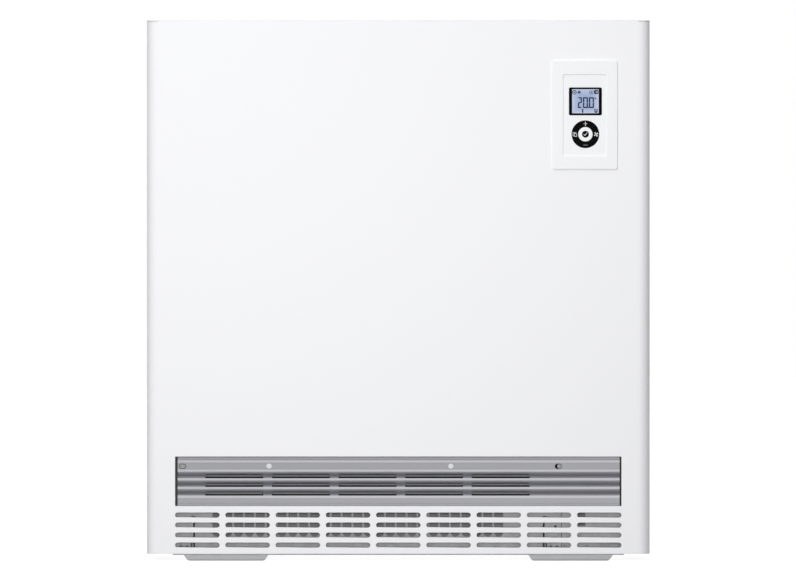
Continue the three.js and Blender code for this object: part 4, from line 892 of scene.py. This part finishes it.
class HEATER_OT_key_symbols(bpy.types.Operator):
    """Print the plus, minus, page, fan and tick symbols on the keys"""
    bl_idname = "heater.key_symbols"
    bl_label = "Key symbols"

    def execute(self, context):
        low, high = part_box("ok_key")
        x = (low.x + high.x) / 2 / MM
        z = (low.z + high.z) / 2 / MM
        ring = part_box("plus_key")[0].y
        plus = [bar(x - 2.4, z + 12.6, x + 2.4, z + 12.6, 0.5),
                bar(x, z + 12.9, x, z + 15.2, 0.7), bar(x, z + 10.0, x, z + 12.3, 0.7)]
        parts = [flat_symbol(f"plus_{i}", [stroke], ring, "key_plus",
                             "key_print") for i, stroke in enumerate(plus)]
        joined("plus_print", parts)
        flat_symbol("minus_print", [box_outline(x, z - 13.0, 5.4, 1.2, 0.2)], ring, "key_minus",
                    "key_print_grey")
        self.pages(x - 12.7, z - 0.2, ring)
        self.fan(x + 12.9, z - 0.2, ring)
        self.ok_mark(x, z, low.y)
        return {"FINISHED"}

    def pages(self, x, z, ring):
        front = [(x - 0.9, z + 1.5), (x + 1.3, z + 1.5), (x + 2.6, z + 0.3), (x + 2.6, z - 2.6),
                 (x - 0.9, z - 2.6)]
        front_hole = [(x - 0.35, z + 0.95), (x + 1.05, z + 0.95), (x + 2.05, z),
                      (x + 2.05, z - 2.05), (x - 0.35, z - 2.05)]
        rear = [(x - 2.6, z + 2.6), (x + 1.2, z + 2.6), (x + 1.2, z + 2.05), (x - 2.05, z + 2.05),
                (x - 2.05, z - 1.4), (x - 1.25, z - 1.4), (x - 1.25, z - 1.95), (x - 2.6, z - 1.95)]
        parts = [
            flat_symbol("page_front", [front, front_hole], ring, "key_menu",
                        "key_print"),
            flat_symbol("page_rear", [rear], ring, "key_menu", "key_print"),
        ]
        joined("page_print", parts)

    def fan(self, x, z, ring):
        parts = []
        for i in range(4):
            turn = i * math.pi / 2 + 0.55
            blade = [(x + radius * math.cos(turn + lead), z + radius * math.sin(turn + lead))
                     for radius, lead in ((0.45, -0.6), (1.5, -0.42), (2.6, -0.36), (2.85, -0.05),
                                          (2.7, 0.28), (1.9, 0.46), (1.0, 0.45))]
            parts.append(flat_symbol(f"blade_{i}", [blade], ring, "key_fan",
                                     "key_print"))
        parts.append(flat_symbol("hub", [circle(x, z, 0.55, 12)], ring, "key_fan",
                                 "key_print"))
        joined("fan_print", parts)

    def ok_mark(self, x, z, face):
        flat_symbol("ok_disc", [circle(x, z, 4.15, 48)], face, "key_ok",
                    "black_moulding", 0.06)
        tick = [(x - 2.3, z - 0.2), (x - 1.8, z + 0.25), (x - 0.7, z - 1.0), (x + 1.9, z + 2.1),
                (x + 2.4, z + 1.7), (x - 0.65, z - 1.95)]
        flat_symbol("ok_tick", [tick], face - 0.05 * MM, "key_ok",
                    "key_print", 0.05)


INNER_FINISHES = {
    "galvanised_sheet": ("chassis_left", "chassis_right", "chassis_front"),
    # The fan housing and flap take the darker galvanised copy: painted shade
    "galvanised_painted_shade": ("fan_housing", "mixing_flap"),
    "anodised_aluminium": ("fan_rotor",),
    "bright_steel": ("fan_motor", "bimetal_strip", "core_sensor"),
    "black_rubber": ("fan_bearing", "cable_grommet"),
    "magnetite": tuple(n for n in frame["nodes"] if n.startswith("core_brick")),
    "element_steel": tuple(n for n in frame["nodes"] if n.startswith("heating_element")),
    "mineral_board": tuple(n for n in frame["nodes"] if n.startswith("insulation")),
    "circuit_board": ("control_board",),
    "black_moulding": ("control_housing", "power_relay"),
    "beige_thermoset": ("terminal_block", "safety_limiter"),
    "red_moulding": ("reset_button",),
}


class HEATER_OT_inner_parts(bpy.types.Operator):
    """Give the closed-in parts their own finishes"""
    bl_idname = "heater.inner_parts"
    bl_label = "Inner parts"

    def execute(self, context):
        for material, nodes in INNER_FINISHES.items():
            for node in nodes:
                for socket in frame["nodes"][node].material_slots:
                    socket.material = finish(material)
        return {"FINISHED"}


# Where each lamp stands and what it is aimed at, its size, and whether surfaces mirror it
LIGHTS = {
    "key_light": ((-1.3, -2.4, 2.2), (0, 0, 0.35), (1.2, 0.9), False),
    "front_light": ((-0.15, -2.0, 0.42), (-0.15, 0, 0.42), (0.9, 0.5), False),
    "top_light": ((0.0, -1.0, 2.6), (0, 0, 0.35), (1.6, 1.0), True),
}
CAMERA_X, CAMERA_Z = -0.36 * MM, 0.325
SENSOR_WIDTH = 36.0
FLOOR_SIZE = 40
FLOOR_GREY = 0.30
FLOOR_GLOW = 0.92


class HEATER_OT_studio(bpy.types.Operator):
    """Set up the pale floor, the soft lights and the camera"""
    bl_idname = "heater.studio"
    bl_label = "Studio"

    def execute(self, context):
        studio = context.scene.heater_studio
        start_fresh()
        bpy.ops.mesh.primitive_plane_add(size=FLOOR_SIZE, location=(0, 0, 0))
        floor = context.object
        floor.name = "floor"
        coat(floor, floor_material())
        levels = {"key_light": studio.key_level, "front_light": studio.front_level,
                  "top_light": studio.top_level}
        for name, (place, target, size, mirrored) in LIGHTS.items():
            self.area_light(name, place, target, size, levels[name], mirrored)
        self.world(studio.ambient)
        bpy.ops.object.camera_add()
        camera = context.object
        camera.data.lens = studio.lens
        camera.data.sensor_width = SENSOR_WIDTH
        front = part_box("front_panel")[0].y
        distance = studio.frame_width * studio.lens / camera.data.sensor_width
        camera.location = (CAMERA_X, front - distance, CAMERA_Z)
        camera.rotation_euler = (math.pi / 2, 0, 0)
        context.scene.camera = camera
        context.scene.view_settings.view_transform = "Standard"
        return {"FINISHED"}

    def area_light(self, name, place, target, size, power, mirrored):
        """A soft light. Where it isn't mirrored, it shows in no metal, paint or picture."""
        bpy.ops.object.light_add(type="AREA", location=place)
        lamp = bpy.context.object
        lamp.name = name
        lamp.data.shape = "RECTANGLE"
        lamp.data.size, lamp.data.size_y = size
        lamp.data.energy = power
        lamp.visible_camera = False
        lamp.visible_glossy = mirrored
        aim = Vector(target) - Vector(place)
        lamp.rotation_euler = aim.to_track_quat("-Z", "Y").to_euler()

    def world(self, strength):
        world = bpy.data.worlds.new("studio_light")
        bpy.context.scene.world = world
        world.use_nodes = True
        tree = world.node_tree
        tree.nodes.clear()
        out = tree.nodes.new("ShaderNodeOutputWorld")
        even = tree.nodes.new("ShaderNodeBackground")
        even.inputs["Color"].default_value = (0.985, 0.985, 1.0, 1)
        even.inputs["Strength"].default_value = strength
        white = tree.nodes.new("ShaderNodeBackground")
        white.inputs["Color"].default_value = (1, 1, 1, 1)
        white.inputs["Strength"].default_value = 1.0
        mix = tree.nodes.new("ShaderNodeMixShader")
        tree.links.new(seen_directly(tree), mix.inputs["Fac"])
        tree.links.new(even.outputs[0], mix.inputs[1])
        tree.links.new(white.outputs[0], mix.inputs[2])
        tree.links.new(mix.outputs[0], out.inputs["Surface"])


def seen_directly(tree):
    """1 for rays that see the white studio itself, 0 for those that only carry its light."""
    path = tree.nodes.new("ShaderNodeLightPath")
    seen = maths(tree, "MAXIMUM", path.outputs["Is Camera Ray"], path.outputs["Is Glossy Ray"])
    return maths(tree, "MAXIMUM", seen, path.outputs["Is Transmission Ray"])


def floor_material():
    """Matt white that the camera sees near white, with the heater's soft shadow kept."""
    material = bpy.data.materials.new("studio_floor")
    material.use_nodes = True
    tree = material.node_tree
    tree.nodes.clear()
    out = tree.nodes.new("ShaderNodeOutputMaterial")
    matt = tree.nodes.new("ShaderNodeBsdfDiffuse")
    matt.inputs["Color"].default_value = (FLOOR_GREY, FLOOR_GREY, FLOOR_GREY, 1)
    glow = tree.nodes.new("ShaderNodeEmission")
    glow.inputs["Color"].default_value = (1, 1, 1, 1)
    glow.inputs["Strength"].default_value = FLOOR_GLOW
    none = tree.nodes.new("ShaderNodeEmission")
    none.inputs["Strength"].default_value = 0.0
    pick_ray = tree.nodes.new("ShaderNodeMixShader")
    both = tree.nodes.new("ShaderNodeAddShader")
    tree.links.new(seen_directly(tree), pick_ray.inputs["Fac"])
    tree.links.new(none.outputs[0], pick_ray.inputs[1])
    tree.links.new(glow.outputs[0], pick_ray.inputs[2])
    tree.links.new(matt.outputs[0], both.inputs[0])
    tree.links.new(pick_ray.outputs[0], both.inputs[1])
    tree.links.new(both.outputs[0], out.inputs["Surface"])
    return material


STEPS = (
    HEATER_OT_materials,
    HEATER_OT_casing,
    HEATER_OT_grille,
    HEATER_OT_inner_sheets,
    HEATER_OT_control,
    HEATER_OT_display_symbols,
    HEATER_OT_key_symbols,
    HEATER_OT_inner_parts,
    HEATER_OT_studio,
)


class HEATER_PT_sidebar(bpy.types.Panel):
    """Lists the settings and the building steps."""
    bl_idname = "HEATER_PT_sidebar"
    bl_label = "Storage heater"
    bl_space_type = "VIEW_3D"
    bl_region_type = "UI"
    bl_category = "Heater"

    def draw(self, context):
        for settings in (context.scene.heater_paint, context.scene.heater_metal,
                         context.scene.heater_studio):
            for name in settings.__annotations__:
                self.layout.prop(settings, name)
        for step in STEPS:
            self.layout.operator(step.bl_idname)


CLASSES = (PaintSettings, MetalSettings, StudioSettings, *STEPS, HEATER_PT_sidebar)


def register():
    for entry in CLASSES:
        bpy.utils.register_class(entry)
    bpy.types.Scene.heater_paint = bpy.props.PointerProperty(type=PaintSettings)
    bpy.types.Scene.heater_metal = bpy.props.PointerProperty(type=MetalSettings)
    bpy.types.Scene.heater_studio = bpy.props.PointerProperty(type=StudioSettings)


def unregister():
    del bpy.types.Scene.heater_studio
    del bpy.types.Scene.heater_metal
    del bpy.types.Scene.heater_paint
    for entry in reversed(CLASSES):
        bpy.utils.unregister_class(entry)


def main():
    register()
    for step in STEPS:
        group, name = step.bl_idname.split(".")
        getattr(getattr(bpy.ops, group), name)()
    start_fresh()


if __name__ == "__main__":
    main()
